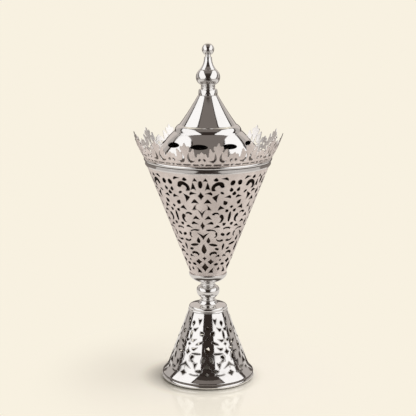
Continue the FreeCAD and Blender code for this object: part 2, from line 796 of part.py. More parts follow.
# Pan seat: an angle ring soldered in the mouth, whose flat top carries the lip of the coal pan.
seat_radius = rim_bore - nest_gap
node(
    turned(
        "pan_seat_body",
        [
            (seat_radius - size("seat_ring_wall"), pan_seat - size("seat_ring_height"), None),
            (seat_radius, pan_seat - size("seat_ring_height"), None),
            (seat_radius, pan_seat, None),
            (seat_radius - size("seat_ring_width"), pan_seat, None),
            (seat_radius - size("seat_ring_width"), pan_seat - size("seat_ring_wall"), None),
            (seat_radius - size("seat_ring_wall"), pan_seat - size("seat_ring_wall"), None),
        ],
    ),
    "pan_seat_ring",
)

# Crown: a flaring gallery of scrolls and leaves, cut through and along its top edge.
crown_wall = size("crown_wall")
crown_bend = crown_foot + size("crown_foot_height")
crown_hip = crown_bend + size("crown_hip_height")
crown_top = crown_foot + size("crown_height")
crown_blank = turned(
    "crown_blank",
    [
        (size("crown_foot_radius") - crown_wall, crown_foot, None),
        (size("crown_foot_radius"), crown_foot, None),
        (size("crown_foot_radius"), crown_bend, None),
        (size("crown_hip_radius"), crown_hip, "crown_flare_turn"),
        (size("crown_top_radius"), crown_top, None),
        (size("crown_top_radius") - crown_wall, crown_top, "-crown_flare_turn"),
        (size("crown_hip_radius") - crown_wall, crown_hip + crown_wall, None),
        (size("crown_foot_radius") - crown_wall, crown_bend + crown_wall, None),
    ],
)


def crown_edge_cutters(low, high, depth):
    """Return the cutters that trim the crown's top edge to leaves, one for each repeat.

    Each runs from tall leaf to tall leaf and stands square to the wall at the short leaf between.
    """
    half_repeat = 180.0 / CROWN_REPEATS
    run = math.dist(low, high)
    over_top = 1 + depth / run
    falling = [(x - 1, y, bend) for x, y, bend in CROWN_EDGE_SHARES[:-1]]
    rising = [
        (1 - x, y, bend)
        for (x, y, _), (_, _, bend) in zip(CROWN_EDGE_SHARES[:0:-1], CROWN_EDGE_SHARES[-2::-1])
    ]
    tip = (1, CROWN_EDGE_SHARES[0][1], 0)
    corners = [(-1, over_top, 0), *falling, *rising, tip, (1, over_top, 0)]
    cutters = []
    for repeat in range(CROWN_REPEATS):
        angle = CROWN_PHASE + (2 * repeat + 1) * half_repeat
        place, across, slant, normal = wall_frame(low, high, 0, angle)

        def place_at(x, y):
            radius = low[0] + (high[0] - low[0]) * y
            sideways = radius * math.sin(math.radians(x * half_repeat))
            return place + across * sideways + slant * (y * run)

        cutters.append(outline_prism(corners, place_at, normal, depth))
    return cutters


crown_low = (size("crown_hip_radius").value, crown_hip.value)
crown_high = (size("crown_top_radius").value, crown_top.value)
crown_sag = size("crown_top_radius").value * (1 - math.cos(math.pi / CROWN_REPEATS))
crown_depth = crown_wall.value + crown_sag + size("cut_overrun").value
crown_cutters = crown_edge_cutters(crown_low, crown_high, crown_depth)
crown_cutters += openwork(
    crown_low, crown_high, CROWN_REPEATS, CROWN_PHASE, CROWN_SHARES, crown_depth
)
node(pierced("crown_pierced", crown_blank, crown_cutters), "crown")

# Coal pan: a spun dish that hangs by its lip on the pan seat.
pan_wall = size("pan_wall")
bore_radius = size("pan_bore_radius")
bore_floor = lip_top - size("pan_bore_depth")
pan_floor = lip_top - size("pan_depth")
floor_radius = size("pan_floor_radius")
node(
    turned(
        "coal_pan_body",
        [
            (ZERO, pan_floor - pan_wall, None),
            (floor_radius, pan_floor - pan_wall, "pan_corner_turn"),
            (bore_radius + pan_wall, bore_floor, None),
            (bore_radius + pan_wall, pan_seat, None),
            (size("pan_lip_radius"), pan_seat, None),
            (size("pan_lip_radius"), lip_top, None),
            (bore_radius, lip_top, None),
            (bore_radius, bore_floor, "-pan_corner_turn"),
            (floor_radius, pan_floor, None),
            (ZERO, pan_floor, None),
        ],
    ),
    "coal_pan",
)

# Lid dome: a spun spire roof with a raised band, a vented flange and a flat brim on the pan's lip.
lid_wall = size("lid_wall")
flange_spread = size("lid_edge_radius") - size("lid_shoulder_radius")
flange_steepness = size("lid_flange_height") / flange_spread
lid_sink = lid_wall * diagonal(flange_spread, size("lid_flange_height")) / flange_spread
under_edge_radius = size("lid_edge_radius") - (lid_sink - lid_wall) / flange_steepness
dome_blank = turned(
    "lid_dome_blank",
    [
        (stud_bore, lid_top - lid_wall, None),
        (size("lid_top_radius") - lid_wall, lid_top - lid_wall, "lid_cone_turn"),
        (size("lid_cone_foot_radius") - lid_wall, lid_cone_foot - lid_wall, None),
        (size("lid_crease_radius") - lid_wall, lid_crease - lid_wall, None),
        (size("lid_shoulder_radius"), lid_shoulder - lid_sink, None),
        (under_edge_radius, lip_top, None),
        (size("lid_brim_radius"), lip_top, None),
        (size("lid_brim_radius"), brim_top, None),
        (size("lid_edge_radius"), brim_top, None),
        (size("lid_shoulder_radius"), lid_shoulder, None),
        (size("lid_crease_radius"), lid_crease, "lid_band_turn"),
        (size("lid_cone_foot_radius"), lid_cone_foot, "-lid_cone_turn"),
        (size("lid_top_radius"), lid_top, None),
        (stud_bore, lid_top, None),
    ],
)
vent_share = size("vent_length").value / (
    math.radians(180.0 / VENT_COUNT) * size("lid_shoulder_radius").value
)
flange_low = (size("lid_edge_radius").value, brim_top.value)
flange_high = (size("lid_shoulder_radius").value, lid_shoulder.value)
vent_rise = size("vent_width").value / math.dist(flange_low, flange_high)
VENT_SHARES = (("leaf", 0.0, 1.0, vent_share, vent_rise, 0, "axis"),)
vent_depth = lid_sink.value + size("cut_overrun").value
node(
    pierced(
        "lid_dome_pierced",
        dome_blank,
        openwork(flange_low, flange_high, VENT_COUNT, VENT_PHASE, VENT_SHARES, vent_depth),
    ),
    "lid_dome",
)

# Locating ring: soldered under the dome, it drops into the mouth of the pan and centres the lid.
locating_radius = bore_radius - size("locating_clearance")
locating_bore = locating_radius - size("locating_ring_wall")


def under_flange(radius):
    """Return the height of the dome's underside over this radius, less the nesting gap."""
    return lip_top + (under_edge_radius - radius) * flange_steepness - nest_gap


node(
    turned(
        "locating_ring_body",
        [
            (locating_bore, lip_top - size("locating_ring_drop"), None),
            (locating_radius, lip_top - size("locating_ring_drop"), None),
            (locating_radius, under_flange(locating_radius), None),
            (locating_bore, under_flange(locating_bore), None),
        ],
    ),
    "lid_locating_ring",
)

# Finial: a drum collar, a bulb, a waisted spire and a ball, threaded on a stud.
drum_top = lid_top + size("finial_collar_drum_height")
node(
    turned(
        "finial_collar_body",
        [
            (stud_bore, lid_top, None),
            (size("finial_collar_radius"), lid_top, "finial_drum_turn"),
            (size("finial_collar_radius"), drum_top, None),
            (size("finial_neck_radius"), drum_top, None),
            (size("finial_neck_radius"), finial_collar_top, None),
            (stud_bore, finial_collar_top, None),
        ],
    ),
    "finial_collar",
)
bulb_foot = finial_collar_top + size("finial_bulb_foot_height")
bulb_belly = finial_collar_top + size("finial_bulb_belly_height")
node(
    turned(
        "finial_bulb_body",
        [
            (stud_bore, finial_collar_top, None),
            (size("finial_neck_radius"), finial_collar_top, None),
            (size("finial_neck_radius"), bulb_foot, "finial_bulb_low_turn"),
            (size("finial_bulb_radius"), bulb_belly, "finial_bulb_high_turn"),
            (size("finial_bulb_top_radius"), bulb_top, None),
            (stud_bore, bulb_top, None),
        ],
    ),
    "finial_bulb",
)
spire_shoulder = bulb_top + size("finial_spire_shoulder_height")
spire_neck = size("finial_tip_neck_radius")
stud_top = spire_shoulder - size("stud_end")
node(
    turned(
        "finial_spire_body",
        [
            (stud_bore, bulb_top, None),
            (size("finial_bulb_top_radius"), bulb_top, "-finial_spire_turn"),
            (size("finial_spire_radius"), spire_shoulder, None),
            (spire_neck, spire_shoulder + size("finial_shoulder_drop"), None),
            (spire_neck, spire_top, None),
            (ZERO, spire_top, None),
            (ZERO, stud_top + nest_gap, None),
            (stud_bore, stud_top + nest_gap, None),
        ],
    ),
    "finial_spire",
)
tip_radius = size("finial_tip_radius")
tip_ball = doc.addObject("Part::Sphere", "finial_tip_sphere")
tip_ball.setExpression("Radius", tip_radius.formula)
tip_ball.setExpression("Angle1", f"-acos({(spire_neck / tip_radius).formula})")
tip_rise = (tip_radius * tip_radius - spire_neck * spire_neck).root()
tip_ball.setExpression("Placement.Base.z", (spire_top + tip_rise).formula)
node(tip_ball, "finial_tip_ball")

# Lid fastening: a stud down through the dome, with a washer and a nut inside.
lid_washer_foot = lid_top - lid_wall - size("stud_washer_height")
lid_nut_foot = lid_washer_foot - size("stud_nut_height")
node(
    rod("finial_stud_bar", size("stud_radius"), lid_nut_foot - size("stud_end"), stud_top),
    "finial_stud",
)
node(
    ring(
        "finial_washer_body",
        stud_bore,
        size("stud_washer_radius"),
        lid_washer_foot,
        lid_top - lid_wall,
    ),
    "finial_washer",
)
node(
    hex_nut(
        "finial_nut_cut",
        size("stud_nut_width"),
        size("stud_radius") + nest_gap,
        lid_nut_foot,
        size("stud_nut_height"),
    ),
    "finial_nut",
)

# Body fastening: one tie rod clamps base cap, stem and cup between two washers and two nuts.
low_washer_foot = cap_top - cap_wall - size("tie_washer_height")
low_nut_foot = low_washer_foot - size("tie_nut_height")
high_washer_foot = collar_top + cup_wall
high_nut_foot = high_washer_foot + size("tie_washer_height")
high_nut_top = high_nut_foot + size("tie_nut_height")
tie_low = low_nut_foot - size("tie_rod_end")
tie_high = high_nut_top + size("tie_rod_end")
node(rod("tie_rod_bar", size("tie_rod_radius"), tie_low, tie_high), "tie_rod")
for place, foot in (("lower", low_washer_foot), ("upper", high_washer_foot)):
    washer = ring(
        f"tie_washer_{place}",
        tie_bore,
        size("tie_washer_radius"),
        foot,
        foot + size("tie_washer_height"),
    )
    node(washer, f"tie_{place}_washer")
nut_bore = size("tie_rod_radius") + nest_gap
for place, foot in (("lower", low_nut_foot), ("upper", high_nut_foot)):
    nut = hex_nut(f"tie_nut_{place}", size("tie_nut_width"), nut_bore, foot, size("tie_nut_height"))
    node(nut, f"tie_{place}_nut")

doc.recompute()

problems = [
    f"{item.Label}: {item.State}"
    for item in doc.Objects
    if {"Invalid", "Error"} & set(item.State)
]
for item in NODES:
    if item.Shape.isNull() or not item.Shape.isValid() or not item.Shape.Solids:
        problems.append(f"{item.Label}: no valid solid")
if problems:
    raise RuntimeError("; ".join(problems))

os.makedirs("parts", exist_ok=True)
for item in NODES:
    item.Shape.exportStep(f"parts/{item.Label}.step")
    print(f"{item.Label}: {len(item.Shape.Solids)} solid, {item.Shape.Volume:.1f} mm3")
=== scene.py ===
"""Looks of the mabkhara: a table-top incense burner of pierced and polished plated sheet.

Every piece is round about the Z axis. Sizes in the classes are millimetres and degrees, and an
angle is measured from the front (-Y), towards +X. A sheet is a line (radius, height) swept round
the axis; its openwork is drawn flat, as an angle and a way along that line.
"""

import json
import logging
import math
from dataclasses import dataclass, replace
from enum import Enum

import bpy
import numpy as np
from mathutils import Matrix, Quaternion, Vector, geometry

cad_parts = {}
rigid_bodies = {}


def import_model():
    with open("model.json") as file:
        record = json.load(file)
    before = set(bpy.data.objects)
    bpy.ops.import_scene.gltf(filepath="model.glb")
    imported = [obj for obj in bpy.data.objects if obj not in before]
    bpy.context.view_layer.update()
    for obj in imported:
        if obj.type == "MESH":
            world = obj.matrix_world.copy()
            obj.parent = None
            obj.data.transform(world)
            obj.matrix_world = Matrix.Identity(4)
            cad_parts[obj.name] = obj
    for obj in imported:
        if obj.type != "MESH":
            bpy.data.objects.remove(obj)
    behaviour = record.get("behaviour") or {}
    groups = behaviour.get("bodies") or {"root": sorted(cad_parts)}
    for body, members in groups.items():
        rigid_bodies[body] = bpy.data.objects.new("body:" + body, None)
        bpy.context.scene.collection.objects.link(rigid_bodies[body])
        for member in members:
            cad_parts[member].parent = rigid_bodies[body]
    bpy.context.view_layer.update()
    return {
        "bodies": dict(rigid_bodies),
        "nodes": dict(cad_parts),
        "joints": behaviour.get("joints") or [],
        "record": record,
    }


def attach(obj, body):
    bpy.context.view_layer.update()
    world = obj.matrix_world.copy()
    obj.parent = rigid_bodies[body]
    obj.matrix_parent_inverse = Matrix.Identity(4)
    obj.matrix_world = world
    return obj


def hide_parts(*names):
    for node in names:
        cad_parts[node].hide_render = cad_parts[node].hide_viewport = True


LOG = logging.getLogger("mabkhara")
MM = 0.001
GAP_LAYER = "opening_gap"

# How a line is divided: the points of a run, the fine step in mm and the least number of fine
# points, the reach of a soft corner in times its softness, and the least points that are kept.
RUN_POINTS, FINE_STEP, LEAST_FINE, SOFT_REACH, LEAST_KEPT = 64, 0.04, 200, 1.2, 4
POLE = 1e-3  # mm from the axis, within which a ring is a single point
TINY = 1e-9
CORNER = 0.02  # mm of an opening's corner that is brightened: wear from rubbing and a painted highlight
Color = tuple[float, float, float]
Corner = tuple[float, float, float]


class Body(Enum):
    """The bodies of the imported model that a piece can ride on."""

    BURNER = "burner"
    PAN = "pan"
    LID = "lid"


class Slot(Enum):
    """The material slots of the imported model."""

    POLISHED = "polished_plate"
    SATIN = "satin_plate"
    SHEET = "plain_sheet"
    STEEL = "fastener_steel"


def bent_runs(corners: np.ndarray, steps: int, closed: bool = True) -> np.ndarray:
    """Divide an outline of straight and bent runs into points.

    A run is an arc whose rise is its bend times its chord, on the right of the way. With half the
    turn a = 2 atan(2 bend), a point at share t lies at the angle f = a (2t - 1) of that arc, which
    is half the chord times 1 + sin f / sin a along it and (cos f - cos a) / sin a beside it.

    Args:
        corners: One row (x, y, bend of the run that leaves it) for each corner.
        steps: How many points each run gives.
        closed: Whether a last run leads back to the first corner.

    Returns:
        The points (x, y), run after run, without the end of the last run if closed.
    """
    starts = corners if closed else corners[:-1]
    ends = np.roll(corners, -1, axis=0)[: len(starts)]
    chord = ends[:, :2] - starts[:, :2]
    beside = np.stack([chord[:, 1], -chord[:, 0]], axis=1)
    bend = np.where(np.abs(starts[:, 2]) < 1e-6, 1e-6, starts[:, 2])
    half_turn = (2 * np.arctan(2 * bend))[:, None]
    angle = half_turn * (2 * np.arange(steps)[None, :] / steps - 1)
    along = (1 + np.sin(angle) / np.sin(half_turn)) / 2
    rise = (np.cos(angle) - np.cos(half_turn)) / np.sin(half_turn) / 2
    points = (
        starts[:, None, :2]
        + chord[:, None, :] * along[..., None]
        + beside[:, None, :] * rise[..., None]
    ).reshape(-1, 2)
    return points if closed else np.vstack([points, corners[-1, :2]])


@dataclass
class Line:
    """A line (radius, height) that is swept round the axis, with its outward normals, in mm."""

    points: np.ndarray
    normals: np.ndarray
    closed: bool

    @classmethod
    def drawn(
        cls,
        corners: list[Corner],
        closed: bool = False,
        soft: float = 0.25,
        spacing: float = 3.0,
        turn: float = 9.0,
    ) -> "Line":
        """Draw a line through corners, soften its corners and thin it out.

        The outline is divided finely and smoothed by a bell curve as wide as soft. Points are then
        kept wherever the sum of the way by spacing and the turning by turn passes a whole number,
        so flat runs have few points and bends have many.

        Args:
            corners: Rows (radius, height, bend of the run that leaves it), the sheet's outside on
                the right of the way.
            closed: Whether the line closes to a ring section.
            soft: How far a corner is rounded off.
            spacing: The longest way between points.
            turn: The largest turn between points, in degrees.

        Returns:
            The line.
        """
        rough = bent_runs(np.array(corners, float), RUN_POINTS, closed)
        if closed:
            rough = np.vstack([rough, rough[:1]])
        way = np.concatenate([[0], np.cumsum(np.linalg.norm(np.diff(rough, axis=0), axis=1))])
        count = max(int(way[-1] / FINE_STEP), LEAST_FINE)
        step = way[-1] / (count - 1)
        even = np.linspace(0, way[-1], count)
        fine = np.stack([np.interp(even, way, rough[:, k]) for k in (0, 1)], axis=1)
        fine = cls._smoothed(fine, soft / step, closed)
        tangent = np.gradient(fine, axis=0)
        if closed:
            tangent[0] = tangent[-1] = fine[1] - fine[-2]
        tangent /= np.linalg.norm(tangent, axis=1)[:, None]
        heading = np.unwrap(np.arctan2(tangent[:, 1], tangent[:, 0]))
        turning = np.abs(np.gradient(heading))
        wide = max(int(SOFT_REACH * soft / step), 1)
        near = np.convolve(turning, np.ones(2 * wide + 1) / (2 * wide + 1), mode="same")
        measure = np.gradient(even) / spacing + np.maximum(turning, near) / math.radians(turn)
        total = np.concatenate([[0], np.cumsum((measure[1:] + measure[:-1]) / 2)])
        kept = np.linspace(0, total[-1], max(int(math.ceil(total[-1])) + 1, LEAST_KEPT))
        if closed:
            kept = kept[:-1]
        at = np.interp(kept, total, np.arange(count))
        points = np.stack([np.interp(at, np.arange(count), fine[:, k]) for k in (0, 1)], axis=1)
        facing = np.interp(at, np.arange(count), heading)
        normals = np.stack([np.sin(facing), -np.cos(facing)], axis=1)
        points[:, 0] = np.where(points[:, 0] < POLE, 0.0, points[:, 0])
        return cls(points, normals, closed)

    @staticmethod
    def _smoothed(fine: np.ndarray, width: float, closed: bool) -> np.ndarray:
        """Smooth points by a bell curve of this width; the ends of an open line stay in place."""
        reach = max(int(3 * width), 1)
        bell = np.exp(-0.5 * (np.arange(-reach, reach + 1) / max(width, 0.5)) ** 2)
        bell /= bell.sum()
        if closed:
            padded = np.vstack([fine[-reach - 1:-1], fine, fine[1:reach + 1]])
        else:
            low = 2 * fine[0] - fine[reach:0:-1]
            high = 2 * fine[-1] - fine[-2:-reach - 2:-1]
            padded = np.vstack([low, fine, high])
        return np.stack([np.convolve(padded[:, k], bell, mode="valid") for k in (0, 1)], axis=1)

    @property
    def way(self) -> np.ndarray:
        """The way along the line at each of its points."""
        steps = np.linalg.norm(np.diff(self.points, axis=0), axis=1)
        return np.concatenate([[0], np.cumsum(steps)])

    def way_at_height(self, height: float) -> float:
        """The way along a rising line at this height."""
        return float(np.interp(height, self.points[:, 1], self.way))

    def radius_at(self, way: float) -> float:
        """The radius at this way along the line."""
        return float(np.interp(way, self.way, self.points[:, 0]))

    def on_surface(self, angle: np.ndarray, way: np.ndarray) -> tuple[np.ndarray, np.ndarray]:
        """Place flat points on the swept surface.

        A point is (r sin a, -r cos a, z), with r and z read off the line at its way.

        Args:
            angle: Angles from the front, in radians.
            way: Ways along the line, in mm.

        Returns:
            The positions in mm and the outward normals.
        """
        knots = self.way
        radius, height = (np.interp(way, knots, self.points[:, k]) for k in (0, 1))
        out, up = (np.interp(way, knots, self.normals[:, k]) for k in (0, 1))
        size = np.hypot(out, up)
        place = np.stack([radius * np.sin(angle), -radius * np.cos(angle), height], axis=1)
        normal = np.stack([out * np.sin(angle), -out * np.cos(angle), up], axis=1)
        return place, normal / size[:, None]


@dataclass
class Surface:
    """A closed mesh: points in mm with normals, and triangles and quads with finish numbers.

    A pierced sheet also has the gap from each point to the nearest opening, in mm.
    """

    points: np.ndarray
    normals: np.ndarray
    faces: list[np.ndarray]
    finishes: list[np.ndarray]
    gaps: np.ndarray | None = None

    def to_object(self, name: str, *materials: bpy.types.Material) -> bpy.types.Object:
        """Make the surface an object at the origin.

        Args:
            name: The object's name.
            materials: Its materials, in the order of the finish numbers.

        Returns:
            The linked object.
        """
        mesh = bpy.data.meshes.new(name)
        rows = [row for block in self.faces for row in block.tolist()]
        mesh.from_pydata((self.points * MM).tolist(), [], rows)
        for material in materials:
            mesh.materials.append(material)
        numbers = np.concatenate(self.finishes).astype(np.int32)
        mesh.polygons.foreach_set("material_index", numbers)
        mesh.polygons.foreach_set("use_smooth", np.ones(len(rows), bool))
        mesh.normals_split_custom_set_from_vertices(self.normals.tolist())
        if self.gaps is not None:
            layer = mesh.attributes.new(GAP_LAYER, "FLOAT", "POINT")
            layer.data.foreach_set("value", self.gaps.astype(np.float32))
        mesh.update()
        item = bpy.data.objects.new(name, mesh)
        bpy.context.scene.collection.objects.link(item)
        return item


def spun(line: Line, segments: int = 144) -> Surface:
    """Sweep a line round the axis, as a lathe or a spinning chuck does.

    The grid has one ring for each point of the line and one column for each angle. A ring of no
    radius becomes one point, and the quads beside it triangles.

    Args:
        line: The line to sweep.
        segments: How many columns the round has.

    Returns:
        The closed surface, in one finish.
    """
    rings = len(line.points)
    angles = np.linspace(0, 2 * math.pi, segments, endpoint=False)
    radius, height = line.points[:, :1], line.points[:, 1:]
    out, up = line.normals[:, :1], line.normals[:, 1:]
    grid = np.stack(
        [radius * np.sin(angles), -radius * np.cos(angles), height + 0 * angles], axis=2
    )
    facing = np.stack([out * np.sin(angles), -out * np.cos(angles), up + 0 * angles], axis=2)
    index = np.arange(rings * segments).reshape(rings, segments)
    index = np.where(radius < POLE, index[:, :1], index)
    pole_normals = np.stack([0 * out, 0 * out, np.sign(up)], 2)
    facing = np.where(radius[..., None] < POLE, pole_normals, facing)
    lower = index if line.closed else index[:-1]
    upper = np.roll(index, -1, axis=0)[: len(lower)]
    quads = np.stack(
        [lower, np.roll(lower, -1, axis=1), np.roll(upper, -1, axis=1), upper], axis=2
    ).reshape(-1, 4)
    low_pole = quads[:, 0] == quads[:, 1]
    high_pole = quads[:, 2] == quads[:, 3]
    plain = ~(low_pole | high_pole)
    faces = [quads[plain], quads[low_pole][:, [0, 2, 3]], quads[high_pole][:, [0, 1, 2]]]
    finishes = [np.zeros(len(block), int) for block in faces]
    used, renumbered = np.unique(np.concatenate([f.ravel() for f in faces]), return_inverse=True)
    cuts = np.cumsum([f.size for f in faces])[:-1]
    faces = [part.reshape(-1, f.shape[1]) for part, f in zip(np.split(renumbered, cuts), faces)]
    return Surface(grid.reshape(-1, 3)[used], facing.reshape(-1, 3)[used], faces, finishes)


def inside(points: np.ndarray, outline: np.ndarray) -> np.ndarray:
    """Say which points lie in an outline: a ray to their right crosses it an odd number of times.

    Args:
        points: The points, one in each row.
        outline: The outline's points in their order.

    Returns:
        One truth for each point.
    """
    start, end = outline, np.roll(outline, -1, axis=0)
    x, y = points[:, :1], points[:, 1:]
    spans = (start[:, 1] > y) != (end[:, 1] > y)
    rise = end[:, 1] - start[:, 1]
    rise = np.where(rise == 0, 1e-12, rise)
    crossing = (end[:, 0] - start[:, 0]) * (y - start[:, 1]) / rise + start[:, 0]
    return (spans & (x < crossing)).sum(axis=1) % 2 == 1


def in_any(points: np.ndarray, outlines: list[np.ndarray]) -> np.ndarray:
    """Say which points lie in any of the outlines."""
    return np.any([inside(points, outline) for outline in outlines], axis=0)


def nearest(points: np.ndarray, others: np.ndarray) -> np.ndarray:
    """Return each point's distance to the nearest of the others."""
    return np.sqrt(((points[:, None] - others[None]) ** 2).sum(axis=2).min(axis=1))


def unit(rows: np.ndarray) -> np.ndarray:
    """Divide each row by its length."""
    return rows / np.maximum(np.linalg.norm(rows, axis=1), TINY)[:, None]


@dataclass(frozen=True)
class Motif:
    """One pierced motif of a pattern.

    Its place across and its width are shares of half a repeat, its place up and its height shares
    of the pierced band, and its tilt is in degrees. A width less than zero mirrors it.
    """

    kind: str
    across: float
    up: float
    width: float
    height: float
    tilt: float = 0.0

    def outline(self, half: float, radius: float, run: float, steps: int) -> np.ndarray:
        """Draw the motif about its own centre.

        Args:
            half: Half a repeat, in radians.
            radius: The sheet's radius at the motif's centre.
            run: The way along the pierced band.
            steps: How many points each run of the outline gives.

        Returns:
            The points (across, up) in mm.
        """
        lean = math.radians(self.tilt)
        width, height = self.width * half * radius, self.height * run
        if abs(math.sin(lean)) > abs(math.cos(lean)):
            width, height = math.copysign(height, width), abs(width)
        x, y = (bent_runs(np.array(OUTLINES[self.kind], float), steps) * [width, height]).T
        return np.stack(
            [x * math.cos(lean) - y * math.sin(lean), x * math.sin(lean) + y * math.cos(lean)], 1
        )


@dataclass
class Openwork:
    """A pattern of motifs that is cut through a band of a swept sheet, all round it.

    The motifs fill half a repeat, which is mirrored. Distances are in mm: the grid between the
    openings, the rings round them, how near a point may come to a side or an opening, and how near
    two points of the rings may lie.
    """

    motifs: tuple[Motif, ...]
    repeats: int
    phase: float
    low: float
    high: float
    edge: tuple[Corner, ...] = ()
    grid: float = 3.2
    steps: int = 5
    rings: tuple[float, ...] = (0.3, 0.62, 1.0)
    ring_share: float = 0.85
    ring_spacing: float = 0.22
    side_gap: float = 0.1
    border_gap: float = 0.15
    grid_gap: float = 1.1
    edge_steps: int = 8

    def holes(self, line: Line, half: float, middle: float) -> list[np.ndarray]:
        """Draw the motifs of half a repeat flat.

        Args:
            line: The outer line of the sheet.
            half: Half a repeat, in radians.
            middle: The radius that angles are drawn at.

        Returns:
            The outlines.
        """
        run, side, found = self.high - self.low, half * middle, []
        for motif in self.motifs:
            way = self.low + motif.up * run
            radius = line.radius_at(way)
            across, up = motif.outline(half, radius, run, self.steps).T
            across = np.clip(across / radius * middle + motif.across * side, 0, side)
            found.append(np.stack([across, up + way], axis=1))
        return found

    def border(self, line: Line, side: float) -> np.ndarray:
        """Draw the outline of half a repeat flat: a plain strip, or one that the edge trims.

        Args:
            line: The outer line of the sheet.
            side: The width of half a repeat in mm.

        Returns:
            The outline.
        """
        if not self.edge:
            end = line.way[-1]
            return np.array([[0, 0], [side, 0], [side, end], [0, end]])
        trimmed = bent_runs(np.array(self.edge, float), self.edge_steps, closed=False)
        trimmed = trimmed * [side, self.high - self.low] + [0, self.low]
        return np.vstack([[[0, 0], [side, 0]], trimmed[::-1]])

    def ringed(self, holes: list[np.ndarray], side: float) -> np.ndarray:
        """Place rings of points round the openings, so that the sheet is fine beside them.

        A ring lies at one distance outside its opening, along the outline's own normals. Points
        that come nearer to another opening, or leave the half repeat, are left out.

        Args:
            holes: The outlines.
            side: The width of half a repeat in mm.

        Returns:
            The points.
        """
        drawn = np.vstack(holes)
        found = []
        for hole in holes:
            way = np.roll(hole, -1, axis=0) - np.roll(hole, 1, axis=0)
            off = unit(np.stack([way[:, 1], -way[:, 0]], axis=1))
            for ring in self.rings:
                points = hole + off * ring
                fair = nearest(points, drawn) > self.ring_share * ring
                fair &= (points[:, 0] > self.side_gap) & (points[:, 0] < side - self.side_gap)
                found.append(points[fair])
        points = np.vstack(found)
        cells = np.round(points / self.ring_spacing).astype(int)
        return points[np.unique(cells, axis=0, return_index=True)[1]]

    def filling(
        self, line: Line, sheet: np.ndarray, holes: list[np.ndarray], side: float
    ) -> np.ndarray:
        """Place the points between the openings: a plain grid, and rings round each opening.

        Args:
            line: The outer line of the sheet.
            sheet: The outline of half a repeat.
            holes: The outlines of the openings.
            side: The width of half a repeat in mm.

        Returns:
            The points.
        """
        columns = max(int(round(side / self.grid)), 4)
        across = np.linspace(0, side, columns + 1)
        rows = np.unique(np.round(line.way, 4))
        grid = np.stack(np.meshgrid(across, rows), axis=2).reshape(-1, 2)
        border = (grid[:, 0] <= 0) | (grid[:, 0] >= side) | (grid[:, 1] <= 0)
        if not self.edge:
            border |= grid[:, 1] >= line.way[-1] - 1e-6
        fair = border & (grid[:, 1] <= sheet[:, 1].max()) | inside(grid, sheet)
        least = np.where(border, self.border_gap, self.grid_gap * max(self.rings))
        fair &= (nearest(grid, np.vstack(holes)) > least) & ~in_any(grid, holes)
        rings = self.ringed(holes, side)
        fair_rings = inside(rings, sheet) & ~in_any(rings, holes)
        return np.vstack([grid[fair], rings[fair_rings]])

    def half_sheet(self, line: Line) -> tuple[np.ndarray, np.ndarray, np.ndarray]:
        """Divide half a repeat of the sheet into triangles round the motifs.

        The sheet is drawn flat, as an angle times a middle radius and a way along the line. The
        outlines and the points between them are joined to triangles, and those that lie in a motif
        or beyond the sheet's edge are left out.

        Args:
            line: The outer line of the sheet.

        Returns:
            The flat points (angle in radians, way in mm), the triangles, and each point's gap to
            the nearest opening in mm.
        """
        half = math.pi / self.repeats
        middle = math.sqrt(line.radius_at(self.low) * line.radius_at(self.high))
        side = half * middle
        sheet, holes = self.border(line, side), self.holes(line, half, middle)
        loops = [sheet] + holes
        sizes = np.array([len(loop) for loop in loops])
        starts = np.repeat(np.cumsum(sizes) - sizes, sizes)
        places = np.arange(sizes.sum())
        follow = starts + (places - starts + 1) % np.repeat(sizes, sizes)
        edges = np.stack([places, follow], axis=1)
        points = np.vstack(loops + [self.filling(line, sheet, holes, side)])
        flat, _, faces, *_ = geometry.delaunay_2d_cdt(
            [Vector(point) for point in points.tolist()], edges.tolist(), [], 0, 1e-4
        )
        flat = np.array([tuple(point) for point in flat])
        triangles = np.array(faces)
        corner = flat[triangles]
        one, two = corner[:, 1] - corner[:, 0], corner[:, 2] - corner[:, 0]
        area = one[:, 0] * two[:, 1] - one[:, 1] * two[:, 0]
        triangles = np.where(area[:, None] < 0, triangles[:, ::-1], triangles)
        centre = corner.mean(axis=1)
        kept = (np.abs(area) > 1e-7) & inside(centre, sheet) & ~in_any(centre, holes)
        return flat / [middle, 1], triangles[kept], nearest(flat, self.dense(holes))

    @staticmethod
    def dense(holes: list[np.ndarray]) -> np.ndarray:
        """Return points on all outlines, three to each of their edges."""
        shares = np.array([0.0, 1 / 3, 2 / 3])[:, None, None]
        points = [hole + shares * (np.roll(hole, -1, axis=0) - hole) for hole in holes]
        return np.concatenate([p.reshape(-1, 2) for p in points])

    def skin(self, line: Line) -> tuple[np.ndarray, np.ndarray, np.ndarray, np.ndarray]:
        """Mirror the half sheet, repeat it round the axis and weld the points that meet.

        Args:
            line: The outer line of the sheet.

        Returns:
            The points of the outer face, its normals, its gaps and its triangles.
        """
        flat, triangles, gap = self.half_sheet(line)
        half = math.pi / self.repeats
        turns = np.arange(self.repeats)[:, None] * 2 * half + math.radians(self.phase)
        angles = np.concatenate([turns + flat[:, 0], turns - flat[:, 0]], axis=1).ravel()
        ways, gaps = np.tile(flat[:, 1], 2 * self.repeats), np.tile(gap, 2 * self.repeats)
        count = len(flat)
        both = np.concatenate([triangles, triangles[:, ::-1] + count])
        offsets = np.arange(self.repeats)[:, None, None] * 2 * count
        triangles = (both[None] + offsets).reshape(-1, 3)
        outer, normal = line.on_surface(angles, ways)
        _, first, welded = np.unique(
            np.round(outer, 3), axis=0, return_index=True, return_inverse=True
        )
        triangles = welded.ravel()[triangles]
        whole = (triangles != np.roll(triangles, 1, axis=1)).all(axis=1)
        return outer[first], normal[first], gaps[first], triangles[whole]

